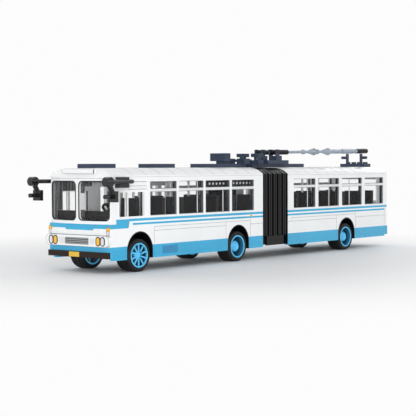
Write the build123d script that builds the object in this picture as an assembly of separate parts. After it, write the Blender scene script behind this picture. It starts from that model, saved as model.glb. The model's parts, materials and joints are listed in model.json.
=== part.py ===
"""Brick-built toy articulated trolleybus, in millimetres.

Working frame of the tables below: X forward from the front axle, Y to the bus's left, Z up from the ground.
Every solid is shifted along X when it is written, so that the stored origin is under the middle of the model.
"""
import os
from math import cos, radians, sin, tan

from build123d import *

# Driving dimensions of the toy building system
STUD = 8.0
PLATE = 3.2
BAR_R = 1.6
RAIL_R = 1.0
PIN_R = 2.4
STUD_R = 2.4
STUD_H = 1.7
RUN_GAP = 0.06
SEAT_GAP = 0.3

# Body cross-section
HALF_W = 32.0
WALL_T = 4.0
SKIRT_BOTTOM = 10.0
SKIRT_TOP = 20.0
CANTRAIL = 71.4
ROOF_EDGE = 72.5
ROOF_TOP = 78.0
ROOF_FLAT_HALF = 17.0
ROOF_BEND = (0.567, 0.69)
ROOF_T = 3.2
FLOOR_BOTTOM = 16.0
FLOOR_TOP = 19.2

# Stations along the bus
MASK_BACK = 28.0
FRONT_FACE = 32.0
FRONT_END = -154.0
REAR_START = -190.8
REAR_END = -355.0
BACK_T = 4.2
MIDDLE_AXLE = -120.0
REAR_AXLE = -285.6

# Wheels
TYRE_R = 12.5
TYRE_W = 14.0
RIM_R = 9.3
RIM_BORE_R = PIN_R + 0.05
WHEEL_OUTER = HALF_W - 0.5
TYRE_SIDES = 60
TYRE_SHOULDER = 1.3
SPOKES = 10
ARCH_R = 14.3
ARCH_Z = 16.3
LINER_T = 0.9
WELL_GAP = 2.5
WELL_INNER = WHEEL_OUTER - TYRE_W - WELL_GAP

# Side windows: sill, bar and head heights, and the depth of the frame in front of the glass
SILL = 42.0
BAR_LOW = 60.1
BAR_HIGH = 62.1
HEAD = 67.8
FRAME_T = 2.0
GLASS_T = 1.2

# Passenger windows as (front edge, rear edge)
FRONT_LEFT_WINDOWS = [(-11.5, -42.1), (-44.8, -74.7), (-77.4, -108.6), (-111.4, -141.4)]
FRONT_RIGHT_WINDOWS = [(-44.8, -74.7), (-111.4, -141.4)]
REAR_LEFT_WINDOWS = [(-199.6, -233.7), (-238.4, -272.7), (-277.9, -312.8), (-318.2, -352.0)]
REAR_RIGHT_WINDOWS = [(-238.4, -272.7), (-277.9, -312.8), (-318.2, -352.0)]
CAB_WINDOW = (22.0, -4.9)
CAB_DIVIDER = (14.5, 12.5)
CAB_HEAD = 60.0
BOARD = (27.0, -8.5, 61.9, 67.9)
BOARD_DEPTH = 0.6

# Doors on the right side: front jamb of each doorway
DOORWAYS = {"front": -16.5, "middle": -78.0, "rear": -203.0}
DOORWAY_W = 25.0
DOOR_SILL = 12.4
DOOR_HEAD = 67.8
DOOR_GAP = 0.4
DOOR_T = 3.0
DOOR_PIN_R = 0.9
DOOR_PIN_L = 1.5
DOOR_STILE = 2.2
DOOR_GLASS = (27.0, 63.0)

# Bellows between the two halves
HOOPS = 5
HOOP_T = 4.4
HOOP_WALL = 4.6
HOOP_BOTTOM = 11.0
HOOP_FOOT = 19.3
HOOP_TOP = ROOF_TOP - 0.6
HOOP_INSET = 0.4
RIB_GROOVE = 0.9
RIB_DEPTH = 0.8
BELLOWS_SKIRT = (12.4, 1.6)
EYE_R = 5.0
EYE_T = 1.0
EYE_PITCH = 1.3
PIVOT_X = (FRONT_END + REAR_START) / 2
HOOP_GAP = (FRONT_END - REAR_START - HOOPS * HOOP_T) / (HOOPS + 1)
TONGUE_R = 12.0

# Trolley poles
POLE_Y = 8.0
POLE_PIVOT_X = -203.2
POLE_PIVOT_Z = ROOF_TOP + 13.4
POLE_TIP_X = -359.4
POLE_TILT = 0.9
POLE_R = 1.3
POLE_PIN_R = 1.2
SHOE_R = 2.4
HOOK_X = -350.0

# Front end
BELT_TOP = 36.7
BELT_BOTTOM = 32.1
BELT_END_BOTTOM = 33.4
BELT_STEP_Y = 14.0
BELT_CORNER_X = (25.6, 12.5, 10.9)
BELT_CORNER_TOP = 40.2
BRICK_JOINT = 0.1
APRON_TOP = 19.8
SKIN_T = 1.6
BUMPER_T = 1.8
BUMPER_Z = (11.8, 16.2)
BEZEL_HALF = HALF_W + 1.4
BEZEL_Z = (20.2, 28.4)
BEZEL_T = 3.0
BEZEL_POCKET = 1.6
LAMP_Y = {"amber": HALF_W - 9.4, "clear": HALF_W - 4.8}
LAMP_W = 4.0
LAMP_H = 6.2
GRILLE_HALF = 12.6
GRILLE_Z = (21.6, 26.6)
SCREEN_Y = (1.65, HALF_W - 1.8)
SCREEN_Z = (39.4, 68.2)
SCREEN_CORNER = 3.2
MASK_BULGE = 3.6
MASK_EDGE = FRONT_FACE - 1.6
VISOR = (16.5, 74.1, 77.0)
VISOR_X = (6.0, 1.4)
NOSE_PANEL = (15.0, 23.0, 29.5, 32.6)
NOSE_PANEL_T = 0.6

# Mirrors: bracket on the wall, arm to a knuckle, head below it
MIRROR_KNUCKLE = (41.6, HALF_W + 7.7, 68.0)
MIRROR_ARM_START = (11.5, HALF_W + 3.2, 68.0)
MIRROR_BRACKET = (26.0, 16.0, HALF_W + 4.4)
MIRROR_HEAD_X = 36.7
MIRROR_HEAD_Z = 57.4
MIRROR_STUB_TIP = 45.3

# The stored origin is under the middle of the whole length
TAIL = REAR_END - BACK_T - 1.2
ORIGIN_X = (MIRROR_STUB_TIP + TAIL) / 2


# Helpers

def block(x0, x1, y0, y1, z0, z1):
    """Box between two corners, given in any order."""
    size = Box(abs(x1 - x0), abs(y1 - y0), abs(z1 - z0))
    return Pos((x0 + x1) / 2, (y0 + y1) / 2, (z0 + z1) / 2) * size


def rod(start, end, radius):
    """Round bar between two points."""
    a, b = Vector(*start), Vector(*end)
    plane = Plane(a, z_dir=(b - a).normalized())
    return extrude(plane * Circle(radius), (b - a).length)


def prism_y(outline, y0, y1):
    """Outline of (X, Z) points extruded across the bus."""
    plane = Plane((0, y0, 0), x_dir=(1, 0, 0), z_dir=(0, -1, 0))
    return extrude(plane * make_face(Polyline(*outline, close=True)), y0 - y1)


def mirrored(shape):
    """The same shape on the other side of the bus."""
    return mirror(shape, about=Plane.XZ)


def both(shape):
    """A shape and its mirror image as separate solids."""
    return Compound(children=[*shape.solids(), *mirrored(shape).solids()])


def gather(shapes):
    """Separate solids of one node."""
    return Compound(children=[solid for shape in shapes for solid in shape.solids()])


def save(node, shape):
    """Writes one node, shifted so that the origin is under the middle of the model."""
    moved = [Pos(-ORIGIN_X, 0, 0) * solid for solid in shape.solids()]
    export_step(moved[0] if len(moved) == 1 else Compound(children=moved), f"parts/{node}.step")


# Body shell

def section_face(half, bottom, edge, top, flat_half):
    """Cross-section of the body: upright sides, an arc at each roof edge and a flat top."""
    rise = top - edge
    run = half - flat_half
    bend = (flat_half + run * ROOF_BEND[0], edge + rise * ROOF_BEND[1])
    right = (-bend[0], bend[1])
    outline = [
        Line((-half, bottom), (half, bottom)),
        Line((half, bottom), (half, edge)),
        ThreePointArc((half, edge), bend, (flat_half, top)),
        Line((flat_half, top), (-flat_half, top)),
        ThreePointArc((-flat_half, top), right, (-half, edge)),
        Line((-half, edge), (-half, bottom)),
    ]
    return make_face(outline)


def section(x0, x1, half, bottom, edge, top, flat_half):
    """The body cross-section extruded along the bus."""
    plane = Plane.YZ.offset(min(x0, x1))
    return extrude(plane * section_face(half, bottom, edge, top, flat_half), abs(x1 - x0))


def roof(front, rear, nose=0.0, tail=0.0):
    """Curved roof shell on top of the walls, with a rounded front or back edge where it has one."""
    shell = section(front, rear, HALF_W, CANTRAIL, ROOF_EDGE, ROOF_TOP, ROOF_FLAT_HALF)
    inner_half = HALF_W - WALL_T
    shell -= section(front - nose, rear + tail, inner_half, CANTRAIL, ROOF_EDGE, ROOF_TOP - ROOF_T, ROOF_FLAT_HALF)
    if nose:
        shell -= rounded_end(front, nose, 1)
    if tail:
        shell -= rounded_end(rear, tail, -1)
    return shell


def rounded_end(station, reach, direction):
    """What an arc takes off the top edge at one end of the roof."""
    back = station - direction * reach
    low = ROOF_TOP - 0.9 * (ROOF_TOP - ROOF_EDGE)
    mid = (back + direction * reach * sin(radians(45)), low + (ROOF_TOP - low) * cos(radians(45)))
    plane = Plane((0, -2 * HALF_W, 0), x_dir=(1, 0, 0), z_dir=(0, -1, 0))
    over = 1.0
    outline = [
        ThreePointArc((back, ROOF_TOP), mid, (station, low)),
        Line((station, low), (station + direction * over, low)),
        Line((station + direction * over, low), (station + direction * over, ROOF_TOP + over)),
        Line((station + direction * over, ROOF_TOP + over), (back, ROOF_TOP + over)),
        Line((back, ROOF_TOP + over), (back, ROOF_TOP)),
    ]
    return extrude(plane * make_face(outline), -4 * HALF_W)


def visor():
    """Blank destination box on the front edge of the roof."""
    half, z0, z1 = VISOR
    back, ahead = VISOR_X
    return block(FRONT_FACE - back, FRONT_FACE + ahead, -half, half, z0, z1)


def arch(axle, radius, y0, y1):
    """Wheel opening: half round above, straight sides below."""
    top = Pos(axle, (y0 + y1) / 2, ARCH_Z) * Rot(90, 0, 0) * Cylinder(radius, abs(y1 - y0))
    return top + block(axle - radius, axle + radius, y0, y1, 0, ARCH_Z)


def window_cut(front, rear, side):
    """One passenger window: two openings in the outer frame and one rebate for the glass behind."""
    outer = side * (HALF_W + 1)
    seat = side * (HALF_W - FRAME_T)
    inner = side * (HALF_W - WALL_T - 1)
    cut = block(front, rear, seat, inner, SILL, HEAD)
    cut += block(front, rear, seat, outer, SILL, BAR_LOW)
    return cut + block(front, rear, seat, outer, BAR_HIGH, HEAD)


def cab_cut(side):
    """Cab side window with its divider, and the shallow board above it."""
    front, rear = CAB_WINDOW
    outer = side * (HALF_W + 1)
    seat = side * (HALF_W - FRAME_T)
    inner = side * (HALF_W - WALL_T - 1)
    cut = block(front, rear, seat, inner, SILL, CAB_HEAD)
    cut += block(front, CAB_DIVIDER[0], seat, outer, SILL, CAB_HEAD)
    cut += block(CAB_DIVIDER[1], rear, seat, outer, SILL, CAB_HEAD)
    x0, x1, z0, z1 = BOARD
    return cut + block(x0, x1, side * (HALF_W - BOARD_DEPTH), outer, z0, z1)


def belt_corner(side):
    """Blue belt where it turns from the front onto the side, with a slanted rear end."""
    step, low_rear, high_rear = BELT_CORNER_X
    outline = [
        (MASK_BACK, BELT_END_BOTTOM), (low_rear, BELT_END_BOTTOM), (high_rear, BELT_CORNER_TOP),
        (step, BELT_CORNER_TOP), (step, BELT_TOP), (MASK_BACK, BELT_TOP),
    ]
    return prism_y(outline, side * (HALF_W - SKIN_T), side * HALF_W)


def side_wall(front, rear, windows, axles, side, cab=False, doorways=()):
    """White side wall above the skirt."""
    wall = block(front, rear, side * (HALF_W - WALL_T), side * HALF_W, SKIRT_TOP, CANTRAIL)
    for x0, x1 in windows:
        wall -= window_cut(x0, x1, side)
    for axle in axles:
        wall -= arch(axle, ARCH_R, side * (HALF_W - WALL_T - 1), side * (HALF_W + 1))
    if cab:
        wall -= cab_cut(side)
        wall -= belt_corner(side)
    for jamb in doorways:
        wall -= doorway_cut(jamb)
    return wall


def doorway_cut(jamb):
    """Doorway through wall and skirt, with the holes for the leaves' pins."""
    outer = -(HALF_W + 1)
    inner = -(HALF_W - WALL_T - 1)
    cut = block(jamb, jamb - DOORWAY_W, outer, inner, DOOR_SILL, DOOR_HEAD)
    for axis_x, _ in leaf_axes(jamb):
        hole = DOOR_HEAD - DOOR_SILL + 2 * (DOOR_PIN_L - DOOR_GAP + 0.1)
        cut += Pos(axis_x, DOOR_AXIS_Y, (DOOR_SILL + DOOR_HEAD) / 2) * Cylinder(DOOR_PIN_R + RUN_GAP, hole)
    return cut


def skirt(front, rear, axles, side, doorways=()):
    """Blue lower band of one side."""
    band = block(front, rear, side * (HALF_W - WALL_T), side * HALF_W, SKIRT_BOTTOM, SKIRT_TOP)
    for axle in axles:
        band -= arch(axle, ARCH_R, side * (HALF_W - WALL_T - 1), side * (HALF_W + 1))
    for jamb in doorways:
        band -= doorway_cut(jamb)
    return band


def side_glass(windows, side):
    """Panes of one side, in their rebates behind the frame."""
    outer = side * (HALF_W - FRAME_T)
    inner = side * (HALF_W - FRAME_T - GLASS_T)
    return [block(x0, x1, outer, inner, SILL, HEAD) for x0, x1 in windows]


# Doors

DOOR_AXIS_Y = -(HALF_W - DOOR_T / 2)


def leaf_axes(jamb):
    """Hinge axis X and the way each of the two leaves reaches, front leaf first."""
    inset = DOOR_GAP + DOOR_T / 2
    return [(jamb - inset, -1), (jamb - DOORWAY_W + inset, 1)]


def door_leaf(axis_x, reach):
    """Frame of one leaf: rounded at the hinge, open for its pane, with a pin at top and bottom."""
    low, high = DOOR_SILL + DOOR_GAP, DOOR_HEAD - DOOR_GAP
    width = DOORWAY_W / 2 - DOOR_GAP - DOOR_T / 2 - DOOR_GAP / 2
    free = axis_x + reach * width
    y0, y1 = DOOR_AXIS_Y - DOOR_T / 2, DOOR_AXIS_Y + DOOR_T / 2
    leaf = block(axis_x, free, y0, y1, low, high)
    leaf += Pos(axis_x, DOOR_AXIS_Y, (low + high) / 2) * Cylinder(DOOR_T / 2, high - low)
    near, far = axis_x + reach * DOOR_T / 2, free - reach * DOOR_STILE
    z0, z1 = DOOR_GLASS
    leaf -= block(near, far, y0 - 1, y1 + 1, z0, z1)
    pin = high - low + 2 * DOOR_PIN_L
    leaf += Pos(axis_x, DOOR_AXIS_Y, (low + high) / 2) * Cylinder(DOOR_PIN_R, pin)
    pane = block(near, far, DOOR_AXIS_Y - GLASS_T / 2, DOOR_AXIS_Y + GLASS_T / 2, z0, z1)
    return leaf, pane


# Front end

def mask_plan(x_offset=0.0):
    """Plan of the front: flat back, gently bowed face."""
    edge = MASK_EDGE + x_offset
    crown = MASK_EDGE + MASK_BULGE + x_offset
    return make_face([
        Line((MASK_BACK, HALF_W), (edge, HALF_W)),
        ThreePointArc((edge, HALF_W), (crown, 0), (edge, -HALF_W)),
        Line((edge, -HALF_W), (MASK_BACK, -HALF_W)),
        Line((MASK_BACK, -HALF_W), (MASK_BACK, HALF_W)),
    ])


def screen_opening(side, grow=0.0):
    """One windscreen opening with rounded corners, cut along the bus."""
    y0, y1 = SCREEN_Y
    z0, z1 = SCREEN_Z
    face = RectangleRounded(y1 - y0 + 2 * grow, z1 - z0 + 2 * grow, SCREEN_CORNER + grow)
    plane = Plane.YZ.offset(MASK_BACK - 2)
    placed = plane * Pos(side * (y0 + y1) / 2, (z0 + z1) / 2) * face
    return extrude(placed, 2 * STUD)


def front_returns(low, high, joint):
    """Ends of a blue strip of the front, turned round both corners up to a joint with the side."""
    near, far = MASK_BACK + joint, FRONT_FACE
    return [block(near, far, side * (HALF_W - SKIN_T), side * HALF_W, low, high) for side in (-1, 1)]


def belt_front(joint=BRICK_JOINT):
    """Blue belt across the front, deeper in the middle, and round its corners."""
    step = BELT_END_BOTTOM - BELT_BOTTOM
    outline = [
        (-HALF_W, BELT_TOP), (-HALF_W, BELT_END_BOTTOM), (-BELT_STEP_Y - step, BELT_END_BOTTOM),
        (-BELT_STEP_Y, BELT_BOTTOM), (BELT_STEP_Y, BELT_BOTTOM), (BELT_STEP_Y + step, BELT_END_BOTTOM),
        (HALF_W, BELT_END_BOTTOM), (HALF_W, BELT_TOP),
    ]
    plane = Plane.YZ.offset(FRONT_FACE - SKIN_T)
    belt = extrude(plane * make_face(Polyline(*outline, close=True)), SKIN_T)
    for end in front_returns(BELT_END_BOTTOM, BELT_TOP, joint):
        belt += end
    return belt


def front_mask():
    """White front: windscreen surround above the belt, flat panel below it."""
    upper = extrude(mask_plan(), CANTRAIL - BELT_TOP)
    upper = Pos(0, 0, BELT_TOP) * upper
    for side in (-1, 1):
        upper -= screen_opening(side)
    lower = block(MASK_BACK, FRONT_FACE, -HALF_W, HALF_W, BUMPER_Z[0], BELT_TOP)
    lower -= belt_front(joint=0.0)
    y0, y1, z0, z1 = NOSE_PANEL
    for side in (-1, 1):
        lower += block(FRONT_FACE, FRONT_FACE + NOSE_PANEL_T, side * y0, side * y1, z0, z1)
    return upper + lower - apron(joint=0.0)


def apron(joint=BRICK_JOINT):
    """Blue strip below the lamps, behind the bumper and round both corners."""
    strip = block(FRONT_FACE - SKIN_T, FRONT_FACE, -HALF_W, HALF_W, BUMPER_Z[0], APRON_TOP)
    for end in front_returns(BUMPER_Z[0], APRON_TOP, joint):
        strip += end
    return strip


def windscreen():
    """Two bowed panes set back in the windscreen openings."""
    depth = 0.8
    bowed = Pos(0, 0, BELT_TOP) * extrude(mask_plan(-depth), CANTRAIL - BELT_TOP)
    bowed -= Pos(0, 0, BELT_TOP - 1) * extrude(mask_plan(-depth - GLASS_T), CANTRAIL - BELT_TOP + 2)
    return [solid for side in (-1, 1) for solid in (bowed & screen_opening(side)).solids()]


def stadium(half, z0, z1, x0, x1):
    """Bar with half-round ends across the front."""
    plane = Plane.YZ.offset(min(x0, x1))
    face = plane * Pos(0, (z0 + z1) / 2) * SlotOverall(2 * half, z1 - z0)
    return extrude(face, abs(x1 - x0))


def lens(y, x0, x1, grow=0.0):
    """Upright oval lamp lens."""
    plane = Plane.YZ.offset(x0)
    middle = (BEZEL_Z[0] + BEZEL_Z[1]) / 2
    face = RectangleRounded(LAMP_W + 2 * grow, LAMP_H + 2 * grow, LAMP_W / 2 - 0.1 + grow)
    return extrude(plane * Pos(y, middle) * face, x1 - x0)


def headlamp_bezel():
    """White lamp bar with pockets for the lamps and the grille."""
    face = FRONT_FACE + BEZEL_T
    pocket = BEZEL_POCKET
    bezel = stadium(BEZEL_HALF, *BEZEL_Z, FRONT_FACE, face)
    for side in (-1, 1):
        for y in LAMP_Y.values():
            bezel -= lens(side * y, face - pocket, face + 1)
    return bezel - block(face - pocket, face + 1, -GRILLE_HALF, GRILLE_HALF, *GRILLE_Z)


def grille():
    """Grey grille: a plate with raised horizontal bars."""
    face = FRONT_FACE + BEZEL_T
    plate = block(face - BEZEL_POCKET, face - 0.9, -GRILLE_HALF, GRILLE_HALF, *GRILLE_Z)
    bars = 4
    pitch = (GRILLE_Z[1] - GRILLE_Z[0]) / bars
    for i in range(bars):
        z = GRILLE_Z[0] + i * pitch
        plate += block(face - 1.2, face - 0.1, -GRILLE_HALF, GRILLE_HALF, z + 0.2 * pitch, z + 0.8 * pitch)
    return plate


CORNER_LAMP_Y = HALF_W - 1.4
CORNER_LAMP_W = 2.6
CORNER_LAMP_T = 1.0
CORNER_LAMP_Z = (28.9, 31.7, 34.6)
SIDE_MARKER = (-137.2, 37.6)


def corner_lamp(side, z0, z1):
    """Half of a small upright lamp at the front corner."""
    y = side * CORNER_LAMP_Y
    half = CORNER_LAMP_W / 2
    return block(FRONT_FACE, FRONT_FACE + CORNER_LAMP_T, y - half, y + half, z0, z1)


def lamps(kind):
    """All lenses of one colour."""
    face = FRONT_FACE + BEZEL_T
    z0, z1, z2 = CORNER_LAMP_Z
    low, high = (z1, z2) if kind == "amber" else (z0, z1)
    found = []
    for side in (-1, 1):
        found.append(lens(side * LAMP_Y[kind], face - BEZEL_POCKET, face + 0.3))
        found.append(corner_lamp(side, low, high))
        if kind == "amber":
            x, z = SIDE_MARKER
            found.append(block(x - 1.2, x + 1.2, side * HALF_W, side * (HALF_W + 0.5), z - 0.7, z + 0.7))
    return gather(found)


def mirror_unit():
    """Left mirror: wall bracket, bar arm, knuckle, drop link, square head and the pin in front of it."""
    x, y, z = MIRROR_KNUCKLE
    recess = HALF_W - BOARD_DEPTH
    front, rear, reach = MIRROR_BRACKET
    low, high = BOARD[2] + BAR_R, CANTRAIL - 0.1
    unit = block(rear - 3, front, recess, recess + 1.6, low, z - 0.4)
    unit += block(rear, front, recess, reach, low, z - 1.7)
    unit += block(rear, rear + STUD / 2, HALF_W, reach - 1.2, z - 2, z + BAR_R)
    unit += block(rear, front, HALF_W, reach, z + 1.3, high)
    unit += rod(MIRROR_ARM_START, (x, y, z), BAR_R)
    unit += Pos(x, y, z) * Rot(90, 0, 0) * Cylinder(3.6, 5.6)
    unit += Pos(x, y, z) * Rot(0, 90, 0) * Cylinder(3.0, 6.4)
    unit += rod((x, y, z), (MIRROR_HEAD_X + 0.6, y, MIRROR_HEAD_Z + 3), 2.0)
    unit += block(MIRROR_HEAD_X - 1.6, MIRROR_HEAD_X + 1.6, y - 4, y + 4, MIRROR_HEAD_Z - 4, MIRROR_HEAD_Z + 4)
    return unit + rod((MIRROR_HEAD_X, y, MIRROR_HEAD_Z), (MIRROR_STUB_TIP, y, MIRROR_HEAD_Z), BAR_R)


# Floor, wheel wells and axle blocks

def wheel_well(axle, side):
    """Black liner over one wheel, closed on its inner side."""
    y_in, y_out = side * WELL_INNER, side * HALF_W
    well = arch(axle, ARCH_R - 0.05, y_in, y_out)
    hollow = arch(axle, ARCH_R - 0.05 - LINER_T, y_in + side * LINER_T, y_out + side)
    well -= hollow
    well -= block(axle - STUD * 3, axle + STUD * 3, -HALF_W - 1, HALF_W + 1, -1, SKIRT_BOTTOM)
    return well - Pos(axle, 0, TYRE_R) * Rot(90, 0, 0) * Cylinder(PIN_R + SEAT_GAP, 2 * HALF_W)


def wheel_wells(axles):
    """Liners of all wheels of one half, as separate solids."""
    return gather([wheel_well(axle, side) for axle in axles for side in (-1, 1)])


def axle_block(axle):
    """Block under the floor that the axle turns in."""
    half, low = 6.0, TYRE_R - PIN_R - 1.6
    return block(axle - half, axle + half, -WELL_INNER + 1.0, WELL_INNER - 1.0, low, FLOOR_BOTTOM + 0.5)


def floor(front, rear, axles, y_half):
    """Floor slab with room for the wheel wells, and the axle blocks under it."""
    slab = block(front, rear, -y_half, y_half, FLOOR_BOTTOM, FLOOR_TOP)
    for axle in axles:
        for side in (-1, 1):
            slab -= arch(axle, ARCH_R, side * (WELL_INNER - 0.05), side * (HALF_W + 1))
    for axle in axles:
        slab += axle_block(axle)
        slab -= Pos(axle, 0, TYRE_R) * Rot(90, 0, 0) * Cylinder(PIN_R + RUN_GAP, 2 * HALF_W)
    return slab


TONGUE_LAP = 8.0


def front_floor():
    """Front floor with the pivot tongue that carries the bellows."""
    half = HALF_W - WALL_T
    slab = floor(MASK_BACK, FRONT_END, (0.0, MIDDLE_AXLE), half)
    slab += block(FRONT_END + 1, PIVOT_X, -TONGUE_R, TONGUE_R, FLOOR_BOTTOM, FLOOR_TOP)
    slab += Pos(PIVOT_X, 0, (FLOOR_BOTTOM + FLOOR_TOP) / 2) * Cylinder(TONGUE_R, FLOOR_TOP - FLOOR_BOTTOM)
    return slab - Pos(PIVOT_X, 0, FLOOR_TOP) * Cylinder(PIN_R + RUN_GAP, 4 * PLATE)


def rear_floor():
    """Rear floor with the lower pivot tongue and the headed pin that the bellows and the front tongue turn on."""
    half = HALF_W - WALL_T
    slab = floor(REAR_START, REAR_END, (REAR_AXLE,), half)
    top = FLOOR_BOTTOM - SEAT_GAP
    low = top - PLATE
    slab += block(REAR_START - TONGUE_LAP, PIVOT_X, -TONGUE_R, TONGUE_R, low, top)
    slab += Pos(PIVOT_X, 0, (low + top) / 2) * Cylinder(TONGUE_R, PLATE)
    slab += block(REAR_START - TONGUE_LAP, REAR_START - 1, -TONGUE_R, TONGUE_R, low, FLOOR_BOTTOM + 1)
    head = FLOOR_TOP + SEAT_GAP + HOOPS * EYE_PITCH
    slab += Pos(PIVOT_X, 0, (low + head) / 2) * Cylinder(PIN_R, head - low)
    slab += Pos(PIVOT_X, 0, head + EYE_T / 2 - 0.05) * Cylinder(PIN_R + 1.6, EYE_T)
    return slab


# Bellows

def hoop(index):
    """One frame of the bellows: a ring of two ribs with a tie bar whose eye turns on the pivot pin.

    The middle frame also carries the plain skirt below the ribs.
    """
    x0 = FRONT_END - HOOP_GAP - index * (HOOP_T + HOOP_GAP)
    x1 = x0 - HOOP_T
    half = HALF_W - HOOP_INSET
    inner = half - HOOP_WALL
    middle = index == HOOPS // 2
    foot = HOOP_BOTTOM if middle else HOOP_FOOT
    ring = section(x0, x1, half, foot, ROOF_EDGE, HOOP_TOP, ROOF_FLAT_HALF)
    ring -= block(x0 + 1, x1 - 1, -inner, inner, HOOP_BOTTOM - 1, CANTRAIL)
    groove = ((x0 + x1 + RIB_GROOVE) / 2, (x0 + x1 - RIB_GROOVE) / 2)
    core = section(*groove, half - RIB_DEPTH, HOOP_BOTTOM - 2, ROOF_EDGE, HOOP_TOP - RIB_DEPTH, ROOF_FLAT_HALF)
    ring -= block(*groove, -half - 1, half + 1, HOOP_BOTTOM - 1, HOOP_TOP + 1) - core
    if middle:
        reach, thick = BELLOWS_SKIRT
        for side in (-1, 1):
            ring += block(PIVOT_X - reach, PIVOT_X + reach, side * (half - thick), side * half,
                          HOOP_BOTTOM, HOOP_FOOT - SEAT_GAP)
    low = FLOOR_TOP + SEAT_GAP + index * EYE_PITCH
    ring += block(x0, x1, -inner - 1, inner + 1, low, low + EYE_T)
    ring += block((x0 + x1) / 2, PIVOT_X + 0.01, -EYE_R, EYE_R, low, low + EYE_T)
    ring += Pos(PIVOT_X, 0, low + EYE_T / 2) * Cylinder(EYE_R, EYE_T)
    return ring - Pos(PIVOT_X, 0, low) * Cylinder(PIN_R + RUN_GAP, 4 * PLATE)


# Roof gear

def plate_stack(layers, z0):
    """Plates one on another: each layer is front edge, rear edge, half width and how many plates thick."""
    stack = None
    for front, rear, half, plates in layers:
        layer = block(front, rear, -half, half, z0, z0 + plates * PLATE)
        stack = layer if stack is None else stack + layer
        z0 += plates * PLATE
    return stack


# Hatches and plates on the front roof as (front edge, rear edge)
HATCHES = [(25.7, 0.9), (-41.6, -67.6), (-105.7, -162.0)]
GEAR_HALF = 8.0
GEAR_TOP = ROOF_TOP + 12.2
GEAR_BOX_X = (-132.0, -140.0)
LOW_COLUMN_X = (-154.0, -162.0)
LOW_COLUMN_TOP = ROOF_TOP + 7.7
LINK = (-160.0, -169.0, ROOF_TOP + 6.0)


def front_roof_gear():
    """Dark hatches, and the plate near the bellows with its box and its two low columns."""
    top = ROOF_TOP + PLATE
    found = [plate_stack([(x0, x1, GEAR_HALF, 1)], ROOF_TOP) for x0, x1 in HATCHES]
    tail = found.pop()
    x0, x1 = GEAR_BOX_X
    tail += block(x0 - 2, x1 + 2, -3.0, 3.0, top, top + 2.4)
    tail += block(x0, x1, -GEAR_HALF, GEAR_HALF, top + 2.3, GEAR_TOP)
    start, end, height = LINK
    for side in (-1, 1):
        y = side * POLE_Y
        tail += block(*LOW_COLUMN_X, y - STUD / 2, y + STUD / 2, top, LOW_COLUMN_TOP)
        tail += rod((start, y, height), (end, y, height), 1.1)
    return gather([*found, tail])


EAR_T = 1.4
EAR_GAP = 3.0
# Plates of the trolley base as (front edge, rear edge, half width, plates thick)
TROLLEY_PLATES = [(-171.0, -250.0, GEAR_HALF, 1), (-188.0, -220.0, 12.0, 1)]
COLUMN_X = (-174.0, -182.0)
BRACKET_X = (-201.0, -209.0)
BRACKET_TOP = ROOF_TOP + 10.4
EAR_X = (-200.9, -205.5)


def trolley_base():
    """Dark base on the rear roof: low plate, two columns, and a bracket with two ears for each pole."""
    base = plate_stack(TROLLEY_PLATES, ROOF_TOP)
    low = ROOF_TOP + PLATE
    high = ROOF_TOP + 2 * PLATE
    for side in (-1, 1):
        y = side * POLE_Y
        base += block(*COLUMN_X, y - STUD / 2, y + STUD / 2, low, low + PLATE)
        base += Pos(sum(COLUMN_X) / 2, y, (low + GEAR_TOP) / 2) * Cylinder(3.0, GEAR_TOP - low)
        base += block(*COLUMN_X, y - STUD / 2, y + STUD / 2, GEAR_TOP - PLATE, GEAR_TOP)
        base += block(*BRACKET_X, y - EAR_GAP - EAR_T, y + EAR_GAP + EAR_T, high, BRACKET_TOP)
        for ear in (-1, 1):
            inner = y + ear * EAR_GAP
            base += block(*EAR_X, inner, inner + ear * EAR_T, BRACKET_TOP - 0.4, POLE_PIVOT_Z + 2.6)
    reach = 3 * POLE_Y
    return base - rod((POLE_PIVOT_X, -reach, POLE_PIVOT_Z), (POLE_PIVOT_X, reach, POLE_PIVOT_Z), POLE_PIN_R + RUN_GAP)


# Bulges along a pole: distance behind the pivot of the start and end, start radius, end radius
POLE_SHAPES = [(67.8, 69.8, 2.3, 2.3), (76.8, 86.8, 1.4, 3.5), (86.8, 89.8, 3.5, 1.4)]
SLEEVE = (-0.4, 19.8, 2.2)
BARREL_R = 2.3
SOCKET_START = 3.0
SHOE_L = 18.4


def cone(start, end, r_start, r_end):
    """Cone along the pole between two distances behind the pivot."""
    points = [(-start, 0), (-start, r_start), (-end, r_end), (-end, 0)]
    return revolve(make_face(Polyline(*points, close=True)), Axis.X)


def pole(part):
    """Left pole: the grey bar with its bulges, or the black hinge sleeve and shoe that hold its ends."""
    length = POLE_PIVOT_X - POLE_TIP_X
    shoe = (length - SHOE_L, length)
    if part == "bar":
        shape = cone(SOCKET_START, length - 2, POLE_R, POLE_R)
        for start, end, r0, r1 in POLE_SHAPES:
            shape += cone(start, end, r0, r1)
    else:
        hole = POLE_R + 0.02
        start, end, radius = SLEEVE
        sleeve = cone(start, end, radius, radius) - cone(SOCKET_START - 0.02, end + 1, hole, hole)
        sleeve += rod((0, -EAR_GAP + SEAT_GAP, 0), (0, EAR_GAP - SEAT_GAP, 0), BARREL_R)
        sleeve += rod((0, -EAR_GAP - EAR_T, 0), (0, EAR_GAP + EAR_T, 0), POLE_PIN_R)
        tip = cone(*shoe, SHOE_R, SHOE_R) - cone(shoe[0] - 1, length - 1.9, hole, hole)
        shape = gather([sleeve, tip])
    return Pos(POLE_PIVOT_X, POLE_Y, POLE_PIVOT_Z) * Rot(0, POLE_TILT, 0) * shape


HOOK_PLATE = (-346.0, -358.0, 14.0)
HOOK_STUD_X = -354.6
HOOK_STUD_Y = (-10.0, -3.2, 3.2, 10.0)
HOOK_ARM = (14.5, ROOF_TOP + 9.2)


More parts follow.
